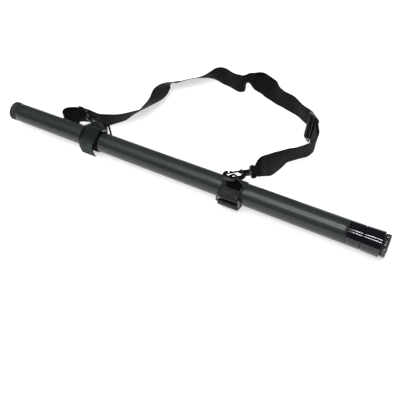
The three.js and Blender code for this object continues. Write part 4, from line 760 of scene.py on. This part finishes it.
def build_band(side, x, turn, ring_at, ring_shift, tail_local, tail_polar):
    rt = r_at(x)
    dr = rt - r_at(RIGHT_BAND_X)
    # wrap: closed band of webbing, selvedges slightly rolled, with its own slight lift
    xs = np.linspace(x - BAND_W / 2, x + BAND_W / 2, 22)
    out = []
    for i, q in enumerate(xs):
        e = min(i, 21 - i)
        lift = BAND_T - (0.5 if e == 0 else 0.12 if e == 1 else 0.0) - (0.12 if e == 3 else 0)
        out.append((q, r_at(q) + 0.35 + lift))
    inn = [(q, r_at(q) + 0.35 + (0.4 if i in (0, 21) else 0)) for i, q in enumerate(xs)][::-1]
    wrap = lathe(f"{side}_band_loop", out + inn, 144, M_BAND if side == "right" else M_TAB, closed=True)
    piece(wrap, "butt", "webbing", f"{side}_band_wrap")
    d0, o0, T0 = (0.09, -0.996), (-0.996, -0.09), (-23.3 - dr, 2.0)
    cs, sn = math.cos(turn * DEG), math.sin(turn * DEG)

    def spin(p):
        return (p[0] * cs + p[1] * sn, p[1] * cs - p[0] * sn)

    def local(t, o):
        return spin((T0[0] + d0[0] * t + o0[0] * o, T0[1] + d0[1] * t + o0[1] * o))

    over, side_w = BAR_T / 2 + 0.55 + TAIL_T / 2, BAR_W / 2 + 0.6 + TAIL_T / 2
    r1 = rt + 0.35 + BAND_T + 0.35 + TAIL_T / 2 - dr
    fold_path = [polar(t + turn, r + dr) for t, r in [(41, r1), (35, r1), (29, r1 + 0.2), (23.5, r1 + 1.2), (18, r1 + 3.2)]] + [local(*p) for p in [(-3.3, over - 0.2), (-1.0, over + 0.05), (0.9, over), (2.3, over - 0.3), (side_w, 1.6), (side_w + 0.05, 0), (side_w, -1.5), (2.3, -over + 0.3), (1.0, -over), (-1.2, -over - 0.05)]]
    def lip(s, across, face, half, i):
        return 0.75 * math.exp(-((i / 5 - 6.3) / 0.55) ** 2)

    fold = strip(f"{side}_band_fold_over", fold_path, x + BUCKLE_AT[side], FOLD_W[side], TAIL_T, M_BAND, per=5, cols=16, wave=lip)
    piece(fold, "butt", "webbing", f"{side}_band_fold")
    t2 = BUCKLE_PITCH
    tail_path = [local(*p) for p in [(t2 + 1.0, -over - 0.1), (t2 - 1.0, -over), (t2 - 2.3, -over + 0.3), (t2 - side_w, -1.5), (t2 - side_w - 0.05, 0), (t2 - side_w, 1.6), (t2 - 2.3, over - 0.3), (t2 - 0.9, over), (t2 + 1.0, over)]] + [local(t2 + a, b) for a, b in tail_local] + [polar(t, r) for t, r in tail_polar]

    def rows(s, across, face, half, i):
        return 0.10 * math.sin(across * half * 2 * math.pi / 2.7) * (1 if face > 0 else 0.2)

    def tail_x(i):
        q = min(1.0, max(0.0, (i - 11) / 11))
        return x + TAIL_AT[side][0] + (TAIL_AT[side][1] - TAIL_AT[side][0]) * q * q * (3 - 2 * q)

    tail = strip(f"{side}_band_tail_strip", tail_path, tail_x, TAIL_W[side], TAIL_T, M_LOOP if side == "left" else M_BAND, per=6, cols=16, wave=rows)
    piece(tail, "butt", "hook_tape", f"{side}_band_tail")
    bar_r = rt + 0.35 + BAND_T + 0.35 + RING_WIRE_R
    bar = polar(ring_at, bar_r)
    lay, hump = rt + 0.35 + BAND_T + 0.35 + 0.65, RING_WIRE_R + 0.4 + 0.65 + (1.6 if side == "right" else 0.4)
    a = ring_at * DEG
    ur, ut = (-math.cos(a), math.sin(a)), (math.sin(a), math.cos(a))

    def around(q):
        c, s = math.cos(q * DEG), math.sin(q * DEG)
        return (bar[0] + hump * (ur[0] * c + ut[0] * s), bar[1] + hump * (ur[1] * c + ut[1] * s))

    tab_path = [polar(ring_at - 19, lay), polar(ring_at - 16.5, lay), polar(ring_at - 13.5, lay + 0.1), polar(ring_at - 10, lay + 1.1)] + [around(q) for q in (-80, -55, -28, 0, 28, 55, 80)] + [polar(ring_at + 10, lay + 1.1), polar(ring_at + 13.5, lay + 0.1), polar(ring_at + 20, lay), polar(ring_at + 27, lay)]
    tab = strip(f"{side}_ring_tab", tab_path, x + ring_shift, 23, 1.3, M_TAB, per=5, cols=14)
    piece(tab, "butt", "webbing", f"{side}_dring_tab")
    return dict(tail=tail_path, tab=tab_path, fold=fold_path, x=x + BUCKLE_AT[side], tab_x=x + ring_shift)


right = build_band("right", RIGHT_BAND_X, 8, 72, 2.5, [(2.6, 2.5), (4.4, 2.1)], [(-38, 28.2), (-47, 27.7), (-58, 27.0), (-71, 26.3), (-87, 25.8), (-103, 24.8), (-118, 23.4), (-133, 22.2), (-148, 21.3), (-160, 21.0), (-172, 21.0)])
left = build_band("left", LEFT_BAND_X, 123, 195, 3, [(2.6, 2.55), (4.2, 2.0), (5.4, 0.8)], [(77, 24.9), (70, 23.0), (62, 21.3), (54, 20.2), (46, 19.65), (35, 19.5), (24, 19.5), (12, 19.5), (0, 19.5), (-12, 19.55), (-24, 19.9), (-34, 20.9), (-43, 22.6), (-51, 24.6), (-58, 26.9), (-64, 29.0)])


# ------------------------------------------------------------- stitching
def stitches(name, seats, normals, tangents, body, slot, parent_sheet=None, length=2.1, radius=0.22):
    """Rows of sewn stitches: small flattened loops of thread sunk in the webbing."""
    verts, faces, uvs = [], [], []
    for p, n, t in zip(seats, normals, tangents):
        p, n, t = np.array(p, float), np.array(n, float), np.array(t, float)
        n /= np.linalg.norm(n); t -= n * (t @ n); t /= np.linalg.norm(t)
        s = np.cross(n, t)
        b0 = len(verts)
        rings, sides = 7, 8
        for i in range(rings):
            f = i / (rings - 1)
            lift = math.sin(math.pi * f)
            r = radius * (0.55 + 0.45 * lift)
            c = p + t * (f - 0.5) * length + n * (0.22 * lift - 0.06)
            for k in range(sides):
                q = 2 * math.pi * k / sides
                verts.append(c + s * r * math.cos(q) + n * r * 0.7 * math.sin(q))
                uvs.append((k * radius * 0.8 * MM, f * length * MM))
        for i in range(rings - 1):
            for k in range(sides):
                l = (k + 1) % sides
                faces.append((b0 + i * sides + k, b0 + (i + 1) * sides + k, b0 + (i + 1) * sides + l, b0 + i * sides + l))
        faces.append(tuple(b0 + k for k in range(sides))[::-1])
        faces.append(tuple(b0 + (rings - 1) * sides + k for k in range(sides)))
    ob = make(name, verts, faces, uvs, M_THREAD)
    recalc(ob)
    return piece(ob, body, slot)


def strip_rows(path, per, x, thick, at, half, step, outward_from=(0, 0)):
    """Stitch seats across a strip at the given shares of its length, on the outer face."""
    p = catmull(path, per)
    seg = np.concatenate([[0], np.cumsum(np.linalg.norm(np.diff(p, axis=0), axis=1))])
    tan = np.gradient(p, axis=0)
    seats, normals, tangents = [], [], []
    for s in at:
        d = s * seg[-1]
        i = int(np.searchsorted(seg, d)); i = min(max(i, 1), len(p) - 2)
        y, z = p[i]
        ty, tz = tan[i] / np.linalg.norm(tan[i])
        n = np.array([0, -tz, ty])
        if n[1] * y + n[2] * z < 0:
            n = -n
        for xx in np.arange(-half, half + 0.01, step):
            seats.append(np.array([x + xx, y, z]) + n * thick / 2)
            normals.append(n); tangents.append((1, 0, 0))
    return seats, normals, tangents


for side, data, w in (("right", right, TAIL_W["right"]), ("left", left, TAIL_W["left"])):
    s = strip_rows(data["fold"], 5, data["x"], TAIL_T, (0.045, 0.13), FOLD_W[side] / 2 - 2.6, 2.9)
    stitches(f"{side}_fold_stitching", *s, "butt", "webbing")
    s = strip_rows(data["tab"], 5, data["tab_x"], 1.3, (0.06, 0.80, 0.93), 9.0, 2.9)
    stitches(f"{side}_tab_stitching", *s, "butt", "webbing")

# stitched rows on the strap: two cross rows where each doubled end is sewn down
def strap_rows(indices, side_sign, halfs=None, step=2.9):
    t = np.gradient(sc, axis=0)
    seats, normals, tangents = [], [], []
    for i in indices:
        ti = t[i] / np.linalg.norm(t[i]); ai = sa[i] / np.linalg.norm(sa[i])
        n = np.cross(ti, ai); n /= np.linalg.norm(n)
        h = sh[i] - 3.2
        for q in np.arange(-h, h + 0.01, step):
            seats.append(sc[i] + ai * q + n * side_sign * (WEB_T / 2 + 0.02))
            normals.append(n * side_sign); tangents.append(ai)
    return seats, normals, tangents


nst = len(sc)
rows_out = [strap_rows([8, 22], 1), strap_rows([nst - 30, nst - 14], 1), strap_rows([8, 22], -1), strap_rows([nst - 30, nst - 14], -1)]
S = [sum((list(r[k]) for r in rows_out), []) for k in range(3)]
stitches("strap_stitching", *S, "butt", "webbing")

# ------------------------------------------------------------- camera and light
cam_data = bpy.data.cameras.new("camera")
cam = bpy.data.objects.new("camera", cam_data)
scene.collection.objects.link(cam)
cam_data.sensor_width = 36
cam_data.lens = 60.0084
cam_data.clip_start, cam_data.clip_end = 0.02, 20
yaw, ele = math.radians(27.1309), math.radians(47.4614)
back = Vector((math.sin(yaw) * math.cos(ele), -math.cos(yaw) * math.cos(ele), math.sin(ele)))
cam.location = (0.032369, -0.665231, 0.762199)
cam.rotation_mode = "QUATERNION"
cam.rotation_quaternion = (-back).to_track_quat("-Z", "Y")
scene.camera = cam

fm, ft, fb = base("floor_paper", (0.4, 0.4, 0.4), 0.85)
fb.inputs["Emission Color"].default_value = (1, 1, 1, 1)
fb.inputs["Emission Strength"].default_value = 0.63
fb.inputs["Specular IOR Level"].default_value = 0.15
n = noise(ft, position(ft), 3.0, 2.0)
ft.links.new(ramp(ft, n, [(0.3, (0.395, 0.395, 0.395)), (0.7, (0.405, 0.405, 0.405))]), fb.inputs["Base Color"])
z = FLOOR_Z
floor = make("floor", [(-6000, -6000, z), (6000, -6000, z), (6000, 6000, z), (-6000, 6000, z)], [(0, 1, 2, 3)], None, fm, smooth=False)

world = bpy.data.worlds.new("studio")
scene.world = world
world.use_nodes = True
bg = world.node_tree.nodes["Background"]
bg.inputs[0].default_value = (0.97, 0.985, 1.0, 1)
bg.inputs[1].default_value = 0.07


def area(name, loc, target, size, size_y, power, color=(1, 1, 1)):
    d = bpy.data.lights.new(name, "AREA")
    d.shape = "RECTANGLE"; d.size = size; d.size_y = size_y; d.energy = power; d.color = color
    o = bpy.data.objects.new(name, d)
    scene.collection.objects.link(o)
    o.location = loc
    v = (Vector(target) - Vector(loc)).normalized()
    o.rotation_mode = "QUATERNION"
    o.rotation_quaternion = v.to_track_quat("-Z", "Y")
    return o


def strip_lights(name, theta, dist, width, runs):
    """Long narrow lights parallel to the pole, placed where a cylinder on the axis mirrors them at the angle theta."""
    c = Vector((0, cam.location.y, cam.location.z)).normalized()
    n = Vector((0, -math.cos(math.radians(theta)), math.sin(math.radians(theta))))
    r = (2 * n.dot(c) * n - c).normalized()
    for k, (x0, x1, watts_per_m) in enumerate(runs):
        d = bpy.data.lights.new(f"{name}_{k}", "AREA")
        d.shape = "RECTANGLE"; d.size = x1 - x0; d.size_y = width; d.energy = watts_per_m * (x1 - x0)
        o = bpy.data.objects.new(f"{name}_{k}", d)
        scene.collection.objects.link(o)
        xax = Vector((1, 0, 0)); yax = r.cross(xax)
        o.matrix_world = Matrix.Translation(Vector(((x0 + x1) / 2, 0, 0)) + r * dist) @ Matrix((xax, yax, r)).transposed().to_4x4()


RUNS = [(-0.35, 0.5, 10.5), (-0.6, -0.35, 7.2), (-0.85, -0.6, 4.2), (-1.1, -0.85, 2.9), (-1.35, -1.1, 1.35), (-1.8, -1.35, 0.45)]
strip_lights("top_strip_a", 54.5, 1.6, 0.035, RUNS)
strip_lights("top_strip_b", 65.5, 1.6, 0.035, RUNS)
# broad studio boxes: they light the paper and the cloth, and aren't mirrored
for o in (area("key", (-0.75, -0.8, 2.1), (-0.33, 0.05, 0), 2.6, 2.6, 62),
          area("fill_behind", (-0.1, 1.8, 1.9), (-0.35, 0.1, 0), 2.6, 1.8, 46),
          area("fill_left", (-2.1, 0.2, 1.6), (-0.35, 0.1, 0), 2.0, 1.8, 27)):
    o.visible_glossy = False
scene.view_settings.view_transform = "Standard"
scene.view_settings.look = "None"

bpy.context.view_layer.update()
